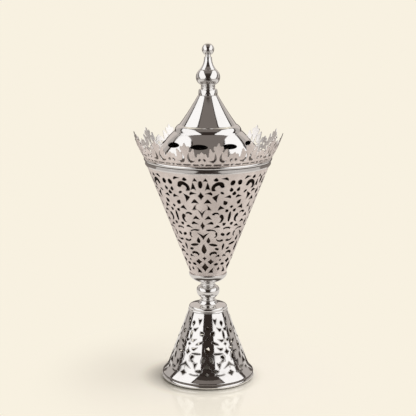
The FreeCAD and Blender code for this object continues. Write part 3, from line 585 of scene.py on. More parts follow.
    def sheet(self, line: Line, wall: float, lip: float = 0.05) -> Surface:
        """Give the pierced skin its wall.

        The inner face lies one wall inside the outer one along the normal. Every free edge gets a
        lip of three rows, whose middle two stand lip into the opening, so its corners look broken.

        Args:
            line: The outer line of the sheet.
            wall: The sheet's thickness in mm.
            lip: The width of the broken corner in mm.

        Returns:
            The closed surface, with finish 1 on its inner face and in its openings.
        """
        outer, normal, gaps, triangles = self.skin(line)
        number = len(outer)
        edges = np.concatenate([triangles[:, [0, 1]], triangles[:, [1, 2]], triangles[:, [2, 0]]])
        code, back = edges @ [number, 1], edges @ [1, number]
        free = edges[~np.isin(code, back)]
        way = unit(outer[free[:, 1]] - outer[free[:, 0]])
        off = np.cross(way, normal[free[:, 0]])
        into = np.zeros_like(outer)
        np.add.at(into, free[:, 0], off)
        np.add.at(into, free[:, 1], off)
        rim = np.unique(free)
        into = unit(into[rim])
        place = np.zeros(number, int)
        place[rim] = np.arange(len(rim))
        near = outer[rim] + into * lip - normal[rim] * lip
        far = outer[rim] + into * lip - normal[rim] * (wall - lip)
        points = np.vstack([outer, outer - normal * wall, near, far])
        normals = np.vstack([normal, -normal, into, into])
        a, b = free[:, 0], free[:, 1]
        near_a, near_b = place[a] + 2 * number, place[b] + 2 * number
        far_a, far_b = near_a + len(rim), near_b + len(rim)
        walls = np.concatenate([
            np.stack([b, a, near_a, near_b], 1),
            np.stack([near_b, near_a, far_a, far_b], 1),
            np.stack([far_b, far_a, a + number, b + number], 1),
        ])
        inner = triangles[:, ::-1] + number
        finishes = [
            np.zeros(len(triangles), int),
            np.ones(len(inner), int),
            np.repeat([0, 1, 1], len(free)),
        ]
        gaps = np.concatenate([gaps, gaps, 0 * rim, 0 * rim])
        return Surface(points, normals, [triangles, inner, walls], finishes, gaps)


def motifs(*rows: tuple) -> tuple[Motif, ...]:
    """Make motifs of rows (kind, across, up, width, height, tilt)."""
    return tuple(Motif(*row) for row in rows)


# Outlines of the motifs, anticlockwise, in shares of their width and height about their centre, and
# the bend of the run that leaves each corner.
OUTLINES: dict[str, tuple[Corner, ...]] = {
    "diamond": ((0, -0.5, -0.04), (0.5, 0, -0.04), (0, 0.5, -0.04), (-0.5, 0, -0.04)),
    "drop": ((-0.5, -0.14, 0.36), (0.5, -0.14, 0.07), (0, 0.5, 0.07)),
    "leaf": ((-0.5, 0, 0.5), (0.5, 0, 0.5)),
    "crescent": ((-0.5, -0.5, -0.42), (0.5, -0.5, 1.0)),
    "spade": ((-0.5, -0.5, -0.14), (0.5, -0.5, 0.03), (0, 0.5, 0.03)),
    "sail": ((-0.5, -0.5, 0), (0.36, -0.5, -0.2), (0.5, 0.5, 0.06)),
    "chevron": ((-0.5, -0.5, -0.04), (0, -0.08, -0.04), (0.5, -0.5, -0.02), (0, 0.5, -0.02)),
    "comma": ((-0.5, 0.5, 0.38), (0.5, -0.1, 0.6), (0.05, 0.12, -0.16)),
    "hook": (
        (-0.5, -0.5, 0.1),
        (-0.14, -0.5, -0.34),
        (0.1, 0.1, 0.0),
        (0.2, -0.05, 0.7),
        (0.5, 0.1, 0.25),
        (0, 0.5, 0.2),
    ),
    "vee": ((0, -0.5, -0.04), (0.5, 0.5, 0.06), (0, 0.1, 0.06), (-0.5, 0.5, -0.04)),
    "wing": ((-0.5, -0.45, -0.08), (0.5, -0.2, 0.2), (0.05, 0.5, -0.02)),
    "fleur": (
        (0, -0.5, -0.12),
        (0.5, 0.05, 0.05),
        (0.2, 0.2, -0.05),
        (0, 0.5, -0.05),
        (-0.2, 0.2, 0.05),
        (-0.5, 0.05, -0.12),
    ),
    "bar": ((-0.5, -0.5, 0), (0.5, -0.5, 0.12), (0.42, 0.5, -0.03), (-0.42, 0.5, 0.12)),
    "scroll": (
        (-0.21, 0.494, 0.1),
        (-0.49, -0.057, 0.22),
        (-0.042, -0.506, 0.12),
        (0.51, -0.264, -0.1),
        (0.03, -0.24, -0.24),
        (-0.17, -0.03, -0.08),
    ),
}
CONE_MOTIFS = motifs(
    ("spade", 0.14, 0.955, 0.12, 0.033, 0),
    ("drop", 0.42, 0.957, 0.13, 0.035, 0),
    ("wing", 0.66, 0.964, 0.21, 0.033, -25),
    ("leaf", 0.0, 0.91, 0.12, 0.073, 90),
    ("spade", 0.2, 0.893, 0.14, 0.073, 0),
    ("hook", 0.48, 0.893, 0.34, 0.085, 0),
    ("leaf", 0.89, 0.92, 0.14, 0.052, 70),
    ("drop", 0.885, 0.855, 0.12, 0.043, 15),
    ("wing", 0.24, 0.825, 0.21, 0.038, -25),
    ("leaf", 0.62, 0.827, 0.13, 0.021, -35),
    ("drop", 1.0, 0.818, 0.14, 0.04, 0),
    ("diamond", 0.0, 0.8, 0.18, 0.075, 0),
    ("spade", 0.42, 0.783, 0.18, 0.08, 80),
    ("wing", 0.82, 0.788, 0.21, 0.038, -20),
    ("spade", 0.2, 0.748, 0.24, 0.043, 0),
    ("drop", 0.75, 0.731, 0.15, 0.05, 35),
    ("sail", 0.235, 0.69, -0.15, 0.052, 0),
    ("spade", 0.62, 0.684, 0.24, 0.043, 15),
    ("diamond", 1.0, 0.688, 0.14, 0.035, 0),
    ("vee", 0.0, 0.626, 0.26, 0.073, 0),
    ("comma", 0.47, 0.628, 0.23, 0.044, 190),
    ("drop", 0.85, 0.652, 0.13, 0.035, 40),
    ("spade", 0.22, 0.588, 0.25, 0.038, 0),
    ("leaf", 1.0, 0.59, 0.11, 0.102, 90),
    ("comma", 0.72, 0.576, 0.28, 0.076, 100),
    ("wing", 0.29, 0.532, 0.26, 0.038, -12),
    ("drop", 0.83, 0.52, 0.15, 0.033, 50),
    ("diamond", 0.0, 0.506, 0.18, 0.078, 0),
    ("wing", 0.54, 0.494, 0.28, 0.031, 0),
    ("crescent", 1.0, 0.476, 0.28, 0.026, 0),
    ("comma", 0.34, 0.462, 0.38, 0.033, 175),
    ("vee", 0.0, 0.4, 0.51, 0.071, 0),
    ("comma", 0.57, 0.412, 0.18, 0.052, 90),
    ("leaf", 0.86, 0.414, 0.22, 0.028, -32),
    ("drop", 0.23, 0.36, 0.18, 0.059, 0),
    ("comma", 0.76, 0.352, 0.33, 0.043, 0),
    ("leaf", 0.47, 0.312, 0.45, 0.026, -12),
    ("drop", 1.0, 0.285, 0.14, 0.071, 180),
    ("drop", 0.0, 0.272, 0.28, 0.097, 0),
    ("leaf", 0.68, 0.268, 0.24, 0.024, -18),
    ("crescent", 0.5, 0.224, 0.38, 0.043, 12),
    ("wing", 0.77, 0.196, 0.27, 0.033, -12),
    ("fleur", 0.0, 0.172, 0.26, 0.045, 0),
    ("diamond", 1.0, 0.153, 0.18, 0.026, 0),
    ("diamond", 0.38, 0.138, 0.42, 0.057, 0),
    ("leaf", 0.76, 0.11, 0.31, 0.026, 8),
    ("diamond", 0.0, 0.08, 0.52, 0.09, 0),
    ("sail", 0.47, 0.054, 0.45, 0.059, 0),
    ("diamond", 1.0, 0.06, 0.24, 0.043, 0),
)
SKIRT_MOTIFS = motifs(
    ("drop", 0.0, 0.843, 0.24, 0.085, 180),
    ("spade", 0.46, 0.88, 0.28, 0.094, 180),
    ("wing", 0.25, 0.755, 0.33, 0.068, 185),
    ("leaf", 0.0, 0.666, 0.14, 0.127, 90),
    ("wing", 0.23, 0.584, 0.33, 0.052, 180),
    ("diamond", 0.0, 0.524, 0.18, 0.05, 0),
    ("leaf", 0.57, 0.542, 0.41, 0.031, 25),
    ("wing", 0.35, 0.452, 0.31, 0.057, 180),
    ("diamond", 0.0, 0.4005, 0.25, 0.088, 0),
    ("leaf", 0.455, 0.379, 0.46, 0.028, 2),
    ("comma", 0.27, 0.298, -0.35, 0.106, -90),
    ("chevron", 0.0, 0.197, 0.55, 0.097, 0),
    ("spade", 0.47, 0.197, 0.18, 0.092, 180),
    ("diamond", 0.0, 0.0713, 0.28, 0.092, 0),
    ("leaf", 0.648, 0.1135, 0.27, 0.043, 0),
    ("crescent", 0.48, 0.0538, 0.29, 0.024, 180),
    ("diamond", 1.0, 0.779, 0.27, 0.078, 0),
    ("drop", 0.658, 0.699, 0.24, 0.073, 40),
    ("spade", 1.0, 0.624, 0.21, 0.047, 0),
    ("drop", 1.0, 0.43, 0.26, 0.153, 180),
    ("leaf", 0.81, 0.285, 0.15, 0.106, 75),
    ("spade", 1.0, 0.195, 0.35, 0.106, 0),
    ("diamond", 1.0, 0.07, 0.19, 0.059, 0),
)
CROWN_MOTIFS = motifs(
    ("bar", 0.0, 0.062, 0.5, 0.075, 0),
    ("bar", 0.585, 0.062, 0.36, 0.075, 0),
    ("drop", 1.0, 0.062, 0.27, 0.1, 180),
    ("scroll", 0.32, 0.385, 0.48, 0.435, 0),
    ("leaf", 0.845, 0.29, 0.16, 0.15, -25),
)

# The crown's top edge over half a repeat, from the tall leaf's tip to the short leaf's tip, as
# shares of half a repeat and of the band's height. A bend more than zero is hollow here.
CROWN_EDGE: tuple[Corner, ...] = (
    (0.0, 1.0, -0.10),
    (0.08, 0.90, 0.22),
    (0.22, 0.87, -0.25),
    (0.28, 0.78, -0.20),
    (0.22, 0.69, 0.40),
    (0.37, 0.66, -0.05),
    (0.44, 0.73, -0.55),
    (0.53, 0.66, -0.05),
    (0.57, 0.46, 0.48),
    (0.70, 0.46, -0.32),
    (0.86, 0.52, -0.06),
    (1.0, 0.62, 0.0),
)


class Graph:
    """A small helper that adds nodes to a tree and links them by name."""

    def __init__(self, tree: bpy.types.NodeTree) -> None:
        """Keep the tree that the nodes go into."""
        self.tree = tree

    def add(self, kind: str, links: dict | None = None, **settings: object) -> bpy.types.Node:
        """Add a node.

        Args:
            kind: The node's type.
            links: Its inputs by name or number, each a socket to link or a value to set.
            settings: Its properties.

        Returns:
            The node.
        """
        item = self.tree.nodes.new(kind)
        for name, value in settings.items():
            setattr(item, name, value)
        for name, value in (links or {}).items():
            if isinstance(value, bpy.types.NodeSocket):
                self.tree.links.new(value, item.inputs[name])
            else:
                item.inputs[name].default_value = value
        return item

    def math(self, operation: str, *values: object) -> bpy.types.NodeSocket:
        """Add a math node and return its output."""
        links = dict(enumerate(values))
        return self.add("ShaderNodeMath", links, operation=operation).outputs[0]

    def remap(self, value: object, low: float, high: float) -> bpy.types.NodeSocket:
        """Stretch a value so that low gives 0 and high gives 1, clamped and eased."""
        links = {"Value": value, "From Min": low, "From Max": high}
        item = self.add("ShaderNodeMapRange", links, interpolation_type="SMOOTHSTEP")
        return item.outputs["Result"]

    def scaled(self, where: object, scale: object) -> bpy.types.NodeSocket:
        """Multiply a place by a scale."""
        links = {0: where, 1: scale}
        return self.add("ShaderNodeVectorMath", links, operation="MULTIPLY").outputs[0]

    def noise(self, where: object, scale: float, detail: float = 3.0) -> bpy.types.NodeSocket:
        """Add a noise texture and return its value."""
        links = {"Vector": where, "Scale": scale, "Detail": detail, "Roughness": 0.55}
        return self.add("ShaderNodeTexNoise", links).outputs["Fac"]


class Effect(Enum):
    """The shared effects, each a node group that is built once."""

    SHEEN_MARKS = "sheen_marks"
    TURNING = "turning_marks"
    GRAIN = "satin_grain"
    TARNISH = "tarnish"
    CHASED = "chased_edge"


class Effects:
    """Builds the shared node groups the first time that each is asked for."""

    def __init__(self) -> None:
        """Start with no group built."""
        self.groups: dict[Effect, bpy.types.NodeTree] = {}

    def place(self, graph: Graph, effect: Effect, **values: object) -> bpy.types.Node:
        """Place an effect in a material.

        Args:
            graph: The material's graph.
            effect: Which effect.
            values: Its inputs by name, with spaces written as underscores.

        Returns:
            The group node.
        """
        if effect not in self.groups:
            self.groups[effect] = getattr(self, f"_{effect.value}")()
        links = {name.replace("_", " "): value for name, value in values.items()}
        return graph.add("ShaderNodeGroup", links, node_tree=self.groups[effect])

    def chased(self, graph: Graph, line: float, width: float) -> dict[str, bpy.types.NodeSocket]:
        """Place the chased edge effect, fed by the mesh's own gap to the nearest opening.

        Args:
            graph: The material's graph.
            line: How far the line lies from the opening, in mm.
            width: Half the width of the line, in mm.

        Returns:
            The effect's outputs by name.
        """
        gap = graph.add("ShaderNodeAttribute", attribute_type="GEOMETRY", attribute_name=GAP_LAYER)
        given = {"Gap": gap.outputs["Fac"], "Rim": CORNER, "Line": line, "Width": width}
        return self.place(graph, Effect.CHASED, **given).outputs

    @staticmethod
    def _group(effect: Effect, inputs: dict[str, float | None], outputs: tuple[str, ...]) -> tuple:
        """Start a group with inputs, a vector where no number is given, and number outputs."""
        tree = bpy.data.node_groups.new(effect.value, "ShaderNodeTree")
        for title, value in inputs.items():
            kind = "NodeSocketVector" if value is None else "NodeSocketFloat"
            socket = tree.interface.new_socket(title, in_out="INPUT", socket_type=kind)
            if value is not None:
                socket.default_value = value
        for title in outputs:
            tree.interface.new_socket(title, in_out="OUTPUT", socket_type="NodeSocketFloat")
        source = tree.nodes.new("NodeGroupInput")
        sink = tree.nodes.new("NodeGroupOutput")
        return tree, Graph(tree), source.outputs, sink.inputs

    def _sheen_marks(self) -> bpy.types.NodeTree:
        """Soft handling marks and hair scratches on a polished face."""
        tree, graph, given, out = self._group(
            Effect.SHEEN_MARKS, {"Vector": None, "Scale": 60.0}, ("Smudge", "Scratch", "Ripple")
        )
        place = graph.scaled(given["Vector"], given["Scale"])
        cloud = graph.noise(place, scale=1.0, detail=5.0)
        tree.links.new(graph.remap(cloud, low=0.46, high=0.78), out["Smudge"])
        tilted, other = (
            graph.add("ShaderNodeMapping", {"Vector": place, "Rotation": turn, "Scale": stretch})
            for turn, stretch in (
                ((0.6, 0.3, 0.9), (14.0, 0.5, 14.0)),
                ((0.2, 1.1, 0.4), (0.6, 17.0, 11.0)),
            )
        )
        streaks = [graph.noise(m.outputs[0], scale=1.0, detail=2.0) for m in (tilted, other)]
        hairs = [graph.remap(streak, low=0.70, high=0.76) for streak in streaks]
        tree.links.new(graph.math("MAXIMUM", *hairs), out["Scratch"])
        tree.links.new(graph.noise(place, scale=0.45, detail=1.0), out["Ripple"])
        return tree

    def _turning_marks(self) -> bpy.types.NodeTree:
        """Fine rings that a lathe or a polishing mop leaves round the axis."""
        tree, graph, given, out = self._group(
            Effect.TURNING, {"Vector": None, "Pitch": 2500.0}, ("Rings",)
        )
        parts = graph.add("ShaderNodeSeparateXYZ", {0: given["Vector"]}).outputs
        across = graph.math("POWER", parts["X"], 2.0)
        along = graph.math("POWER", parts["Y"], 2.0)
        radius = graph.math("SQRT", graph.math("ADD", across, along))
        place = graph.add("ShaderNodeCombineXYZ", {
            "X": graph.math("MULTIPLY", radius, given["Pitch"]),
            "Y": graph.math("MULTIPLY", parts["Z"], given["Pitch"]),
        }).outputs[0]
        tree.links.new(graph.noise(place, scale=1.0, detail=2.0), out["Rings"])
        return tree

    def _satin_grain(self) -> bpy.types.NodeTree:
        """Short bright and matt grain of a satin face, with a slow cloud in it."""
        tree, graph, given, out = self._group(
            Effect.GRAIN, {"Vector": None, "Scale": 1800.0}, ("Grain", "Cloud")
        )
        fine = graph.scaled(given["Vector"], given["Scale"])
        tree.links.new(graph.noise(fine, scale=1.0, detail=3.0), out["Grain"])
        tree.links.new(graph.noise(given["Vector"], scale=42.0, detail=4.0), out["Cloud"])
        return tree

    def _chased_edge(self) -> bpy.types.NodeTree:
        """The brightened rim of an opening, worn by rubbing and a painted highlight, and the line
        chased round it, both from the gap to it.
        """
        tree, graph, given, out = self._group(
            Effect.CHASED,
            {"Gap": 1.0, "Rim": 0.3, "Line": 0.75, "Width": 0.3},
            ("Rubbed Glint", "Chased"),
        )
        rubbed_glint = graph.math("SUBTRACT", 1.0, graph.math("DIVIDE", given["Gap"], given["Rim"]))
        tree.links.new(graph.math("MAXIMUM", rubbed_glint, 0.0), out["Rubbed Glint"])
        off = graph.math("ABSOLUTE", graph.math("SUBTRACT", given["Gap"], given["Line"]))
        chased = graph.math("SUBTRACT", 1.0, graph.math("DIVIDE", off, given["Width"]))
        tree.links.new(graph.math("MAXIMUM", chased, 0.0), out["Chased"])
        return tree

    def _tarnish(self) -> bpy.types.NodeTree:
        """Blotches of tarnish and soot, denser above a level."""
        tree, graph, given, out = self._group(
            Effect.TARNISH,
            {"Vector": None, "Scale": 90.0, "Level": 0.1, "Spread": 0.08},
            ("Stain",),
        )
        place = graph.scaled(given["Vector"], given["Scale"])
        blotch = graph.noise(place, scale=1.0, detail=6.0)
        height = graph.add("ShaderNodeSeparateXYZ", {0: given["Vector"]}).outputs["Z"]
        lift = graph.math("DIVIDE", graph.math("SUBTRACT", height, given["Level"]), given["Spread"])
        lift_share = 0.35
        both = graph.math("ADD", blotch, graph.math("MULTIPLY", lift, lift_share))
        tree.links.new(graph.remap(both, low=0.35, high=0.75), out["Stain"])
        return tree


def new_material(name: str) -> tuple[bpy.types.Material, Graph]:
    """Make a material without nodes and return it with its graph."""
    item = bpy.data.materials.new(name)
    item.use_nodes = True
    item.node_tree.nodes.clear()
    return item, Graph(item.node_tree)


@dataclass(frozen=True)
class Finish:
    """A metal finish. Each kind of finish says how it is laid over this plain base.

    A mask blends color into shade, rough_marks is how much the marks add to the roughness, and
    bump is the depth of the relief in mm.
    """

    name: str
    color: Color
    shade: Color
    roughness: float
    rough_marks: float
    bump: float

    def material(self, effects: Effects) -> bpy.types.Material:
        """Make the finish's material.

        Args:
            effects: The shared effects.

        Returns:
            The material.
        """
        item, graph = new_material(self.name)
        where = graph.add("ShaderNodeTexCoord").outputs["Object"]
        mask, rough, height, strength = self.laid(graph, effects, where)
        mix = graph.add("ShaderNodeMix", {0: mask}, data_type="RGBA")
        mix.inputs[6].default_value = (*self.color, 1.0)
        mix.inputs[7].default_value = (*self.shade, 1.0)
        bump = graph.add("ShaderNodeBump", {
            "Height": height,
            "Strength": strength,
            "Distance": self.bump * MM,
        })
        shader = graph.add("ShaderNodeBsdfPrincipled", {
            "Base Color": mix.outputs[2],
            "Metallic": 1.0,
            "Roughness": rough,
            "Normal": bump.outputs[0],
        })
        graph.add("ShaderNodeOutputMaterial", {"Surface": shader.outputs[0]})
        item.diffuse_color = (*self.color, 1.0)
        return item

    def laid(self, graph: Graph, effects: Effects, where: object) -> tuple:
        """Return the shade's mask, the roughness, the bump's height and its strength."""
        raise NotImplementedError


@dataclass(frozen=True)
class MirrorPlate(Finish):
    """Buffed nickel-coloured plate: nearly a mirror, with handling marks and faint mop rings.

    On a pierced sheet, tarnish lies in a line chased round each opening. Between two heights in
    metres the plate may be darkened and made rougher: painted shade, as in a groove, at a lowest
    edge and on a brim that the crown shades.
    """

    pierced: bool = False
    smudges: float = 0.3
    painted_shade_band: tuple[float, float] = (0.0, 0.0)
    painted_shade_rough: float = 0.3
    painted_shade_fade: tuple[float, float] = (-0.2 * MM, 0.1 * MM)
    ring_pitch: float = 1600.0
    ring_rough: float = 0.03
    hair_depth: float = -0.10
    line: float = 0.34
    line_width: float = 0.36
    line_tint: float = 0.9
    line_rough: float = 0.12
    line_depth: float = -1.2
    strength: float = 0.35

    def laid(self, graph: Graph, effects: Effects, where: object) -> tuple:
        """Lay smudges over colour and gloss, and ripples and hair scratches over the form."""
        marks = effects.place(graph, Effect.SHEEN_MARKS, Vector=where).outputs
        turning = effects.place(graph, Effect.TURNING, Vector=where, Pitch=self.ring_pitch)
        rough = graph.math("MULTIPLY_ADD", marks["Smudge"], self.rough_marks, self.roughness)
        rough = graph.math("MULTIPLY_ADD", turning.outputs["Rings"], self.ring_rough, rough)
        hairs = graph.math("MULTIPLY", marks["Scratch"], self.hair_depth)
        height = graph.math("ADD", marks["Ripple"], hairs)
        mask = graph.math("MULTIPLY", marks["Smudge"], self.smudges)
        # Painted shade: between two heights the colour goes to the dark shade colour and the
        # roughness rises.
        low, high = self.painted_shade_band
        if high:
            level = graph.add("ShaderNodeSeparateXYZ", {0: where}).outputs["Z"]
            outer, inner = self.painted_shade_fade
            above = graph.remap(level, low + outer, low + inner)
            below = graph.remap(level, high - outer, high - inner)
            band = graph.math("MULTIPLY", above, below)
            mask = graph.math("MAXIMUM", mask, band)
            rough = graph.math("MULTIPLY_ADD", band, self.painted_shade_rough, rough)
        if self.pierced:
            chased = effects.chased(graph, self.line, self.line_width)["Chased"]
            mask = graph.math("MAXIMUM", mask, graph.math("MULTIPLY", chased, self.line_tint))
            rough = graph.math("MULTIPLY_ADD", chased, self.line_rough, rough)
            height = graph.math("MULTIPLY_ADD", chased, self.line_depth, height)
        return mask, rough, height, self.strength


@dataclass(frozen=True)
class SatinPlate(Finish):
    """Satin plate with a fine grain and a faintly warm cast, pierced and chased.

    Its openings' corners are brightened: wear from rubbing and a painted highlight.
    """

    grain_tone: float = 0.4
    cloud_tone: float = 0.6
    tones: tuple[float, float] = (0.38, 0.62)
    tone_shade: float = 0.5
    line: float = 0.06
    line_width: float = 0.34
    line_depth: float = -2.5
    rubbed_glint_share: float = 0.6
    rubbed_rough: float = -0.2
    rubbed_depth: float = -2.0
    strength: float = 0.6

    def laid(self, graph: Graph, effects: Effects, where: object) -> tuple:
        """Lay the grain over colour, gloss and form, and the chased line round the openings."""
        grain = effects.place(graph, Effect.GRAIN, Vector=where).outputs
        edge = effects.chased(graph, self.line, self.line_width)
        cloud = graph.math("MULTIPLY", grain["Cloud"], self.cloud_tone)
        tone = graph.math("MULTIPLY_ADD", grain["Grain"], self.grain_tone, cloud)
        rough = graph.math("MULTIPLY_ADD", grain["Grain"], self.rough_marks, self.roughness)
        rough = graph.math("MULTIPLY_ADD", edge["Rubbed Glint"], self.rubbed_rough, rough)
        shaded = graph.math("MULTIPLY", graph.remap(tone, *self.tones), self.tone_shade)
        mask = graph.math("MAXIMUM", shaded, edge["Chased"])
        # Painted highlight, with wear: the openings' corners are brightened in colour.
        rubbed_glint = graph.math("MULTIPLY", edge["Rubbed Glint"], self.rubbed_glint_share)
        mask = graph.math("SUBTRACT", mask, rubbed_glint)
        height = graph.math("MULTIPLY_ADD", edge["Chased"], self.line_depth, grain["Grain"])
        height = graph.math("MULTIPLY_ADD", edge["Rubbed Glint"], self.rubbed_depth, height)
        return mask, rough, height, self.strength


@dataclass(frozen=True)
class SpunSheet(Finish):
    """Plain sheet with turning rings, stained by heat and soot."""

    level: float = 0.1
    ring_pitch: float = 1400.0
    stain_rough: float = 0.12
    strength: float = 0.5

    def laid(self, graph: Graph, effects: Effects, where: object) -> tuple:
        """Lay stains over the colour and turning rings over gloss and form."""
        tarnish = effects.place(graph, Effect.TARNISH, Vector=where, Level=self.level)
        turning = effects.place(graph, Effect.TURNING, Vector=where, Pitch=self.ring_pitch)
        stain, rings = tarnish.outputs["Stain"], turning.outputs["Rings"]
        rough = graph.math("MULTIPLY_ADD", rings, self.rough_marks, self.roughness)
        rough = graph.math("MULTIPLY_ADD", stain, self.stain_rough, rough)
        return stain, rough, rings, self.strength


MIRROR = MirrorPlate(
    name="mirror_plate",
    color=(0.83, 0.815, 0.80),
    shade=(0.74, 0.71, 0.68),
    roughness=0.05,
    rough_marks=0.10,
    bump=0.06,
)
# Painted shade: the skirt is darkened below 4.4 mm, as a contact shadow at its foot.
PIERCED = replace(
    MIRROR,
    name="pierced_mirror",
    shade=(0.20, 0.17, 0.15),
    smudges=0.16,
    pierced=True,
    painted_shade_band=(0.0, 0.0044),
    bump=0.09,
)
# Painted shade: a dark line in the groove under the rim band's upper bead, 198.1 to 198.9 mm up.
RIM = replace(
    MIRROR, name="rim_mirror", shade=(0.10, 0.085, 0.075), smudges=0.05, painted_shade_band=(0.1981, 0.1989)
)
# Painted shade: the foot ring's lowest 0.9 mm is darkened, as a contact shadow.
FOOT = replace(RIM, name="foot_mirror", painted_shade_band=(0.0, 0.0009))
# Painted shade: the lid is darkened below 206.4 mm, where the crown shades its brim.
ROOF = replace(RIM, name="roof_mirror", shade=(0.17, 0.145, 0.13), painted_shade_band=(0.0, 0.2064))
SATIN = SatinPlate(
    name="satin_plate",
    color=(0.98, 0.90, 0.855),
    shade=(0.52, 0.455, 0.42),
    roughness=0.42,
    rough_marks=0.14,
    bump=0.03,
)
SATIN_BRIGHT = SatinPlate(
    name="satin_bright",
    color=(0.95, 0.92, 0.89),
    shade=(0.66, 0.62, 0.59),
    roughness=0.24,
    rough_marks=0.10,
    bump=0.02,
)
PAN_SHEET = SpunSheet(
    name="pan_sheet",
    color=(0.42, 0.40, 0.37),
    shade=(0.12, 0.10, 0.085),
    roughness=0.38,
    rough_marks=0.2,
    bump=0.03,
    level=0.17,
)
SATIN_INSIDE = replace(
    PAN_SHEET,
    name="satin_inside",
    color=(0.13, 0.095, 0.07),
    shade=(0.05, 0.036, 0.027),
    roughness=0.55,
    level=0.14,
)
# Soot and painted shade: near black, so that the holes read as deep shade close behind the
# piercing.
SOOT_AND_SHADE_LINING = replace(
    SATIN_INSIDE,
    name="lining",
    color=(0.085, 0.062, 0.048),
    shade=(0.03, 0.022, 0.017),
    roughness=0.5,
)
MIRROR_INSIDE = replace(
    PAN_SHEET,
    name="mirror_inside",
    color=(0.17, 0.13, 0.10),
    shade=(0.08, 0.06, 0.047),
    roughness=0.42,
    level=0.05,
)
STEEL = replace(
    PAN_SHEET,
    name="fastener_steel",
    color=(0.56, 0.55, 0.54),
    shade=(0.36, 0.33, 0.30),
    roughness=0.3,
    rough_marks=0.15,
    bump=0.02,
    level=0.2,
)


def arc(turn: float) -> float:
    """The bend of an arc that turns through this many degrees; less than zero is hollow."""
    return math.tan(math.radians(turn) / 4) / 2


class Shop:
    """Holds the finishes and puts each new piece on its body in place of its CAD node."""

    def __init__(self, frame: dict) -> None:
        """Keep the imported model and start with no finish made.
        """
        self.frame = frame
        self.effects = Effects()
        self.made: dict[str, bpy.types.Material] = {}

    def finish(self, finish: Finish) -> bpy.types.Material:
        """Return a finish's material, made the first time it is asked for."""
        if finish.name not in self.made:
            self.made[finish.name] = finish.material(self.effects)
        return self.made[finish.name]

    def add(
        self, surface: Surface, node: str, body: Body, slot: Slot, *finishes: Finish
    ) -> bpy.types.Object:
        """Put a surface in the scene in place of a CAD node.

        Args:
            surface: The surface.
            node: The node that it stands for.
            body: The body that it rides on.
            slot: The record's slot of its finish; not used.
            finishes: Its finishes, outer face first.

        Returns:
            The new object.
        """
        item = surface.to_object(f"{node}_piece", *(self.finish(finish) for finish in finishes))
        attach(item, body.value)
        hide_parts(node)
        LOG.info("%s: %d points", item.name, len(surface.points))
        return item

    def dress(self, node: str, finish: Finish) -> None:
        """Give a CAD node that stays in view a finish."""
        mesh = self.frame["nodes"][node].data
        mesh.materials.clear()
        mesh.materials.append(self.finish(finish))
        LOG.info("%s: %s", node, finish.name)


@dataclass
class Turned:
    """A piece turned from solid or spun from sheet, drawn as a closed section."""

    node: str
    section: list[Corner]
    body: Body = Body.BURNER
    slot: Slot = Slot.POLISHED
    finish: Finish = MIRROR
    soft: float = 0.22
    segments: int = 144

    def build(self, shop: Shop) -> None:
        """Spin the section round the axis and dress it."""
        line = Line.drawn(self.section, closed=True, soft=self.soft)
        shop.add(spun(line, self.segments), self.node, self.body, self.slot, self.finish)


@dataclass
class Base:
    """The foot ring, the pierced skirt and the domed cap on it.

    Names in top are heights. The skirt is pierced over piercing times its straight part, counted
    from its top, and nest is the gap between cap and skirt.
    """

    foot_top: float = 3.4
    roll: float = 39.5
    skirt_top: float = 62.3
    flare_top: float = 13.7
    flare_radius: float = 35.5
    top_radius: float = 17.5
    wall: float = 0.6
    piercing: float = 1.1
    repeats: int = 5
    phase: float = 34.6
    cap_top: float = 71.2
    cap_bead: float = 17.1
    boss: float = 7.8
    boss_top: float = 6.9
    nest: float = 0.05
    rod_bore: float = 2.65

    def build(self, shop: Shop) -> None:
        """Build the three pieces."""
        half_flat, half_seat = 0.75, 0.95
        Turned("foot_ring", [
            (self.roll - half_flat, 0, 0),
            (self.roll + half_flat, 0, arc(120)),
            (self.roll + half_seat, self.foot_top, 0),
            (self.roll - half_seat, self.foot_top, arc(120)),
        ], finish=FOOT).build(shop)
        line = Line.drawn([
            (40.3, self.foot_top, arc(70)),
            (41.0, self.foot_top + 2.2, -arc(28)),
            (self.flare_radius, self.flare_top, 0),
            (self.top_radius, self.skirt_top, 0),
        ])
        flare, top = (self.flare_radius, self.flare_top), (self.top_radius, self.skirt_top)
        end = float(line.way[-1])
        start = end - self.piercing * math.dist(flare, top)
        pattern = Openwork(SKIRT_MOTIFS, self.repeats, self.phase, start, end, grid=2.6)
        sheet = pattern.sheet(line, self.wall)
        shop.add(sheet, "base_skirt", Body.BURNER, Slot.POLISHED, PIERCED, MIRROR_INSIDE)
        spigot = self.top_radius - self.wall - self.nest
        Turned("base_cap", [
            (self.rod_bore, self.cap_top - 1, 0),
            (self.boss_top, self.cap_top - 1, 0),
            (self.boss + 0.1, self.cap_top - 3.8, 0),
            (14.8, self.cap_top - 5.1, -arc(48)),
            (spigot - 1, self.skirt_top + 1.8, 0),
            (spigot - 1, self.skirt_top - 2.2, 0),
            (spigot, self.skirt_top - 2.2, 0),
            (spigot, self.skirt_top, 0),
            (self.cap_bead, self.skirt_top, arc(150)),
            (self.cap_bead, self.skirt_top + 1.5, 0),
            (self.cap_bead, self.skirt_top + 3.0, arc(80)),
            (15.5, self.cap_top - 4.2, 0),
            (9.0, self.cap_top - 3.0, -arc(30)),
            (self.boss, self.cap_top - 0.7, arc(60)),
            (self.boss_top, self.cap_top, 0),
            (self.rod_bore, self.cap_top, 0),
        ]).build(shop)


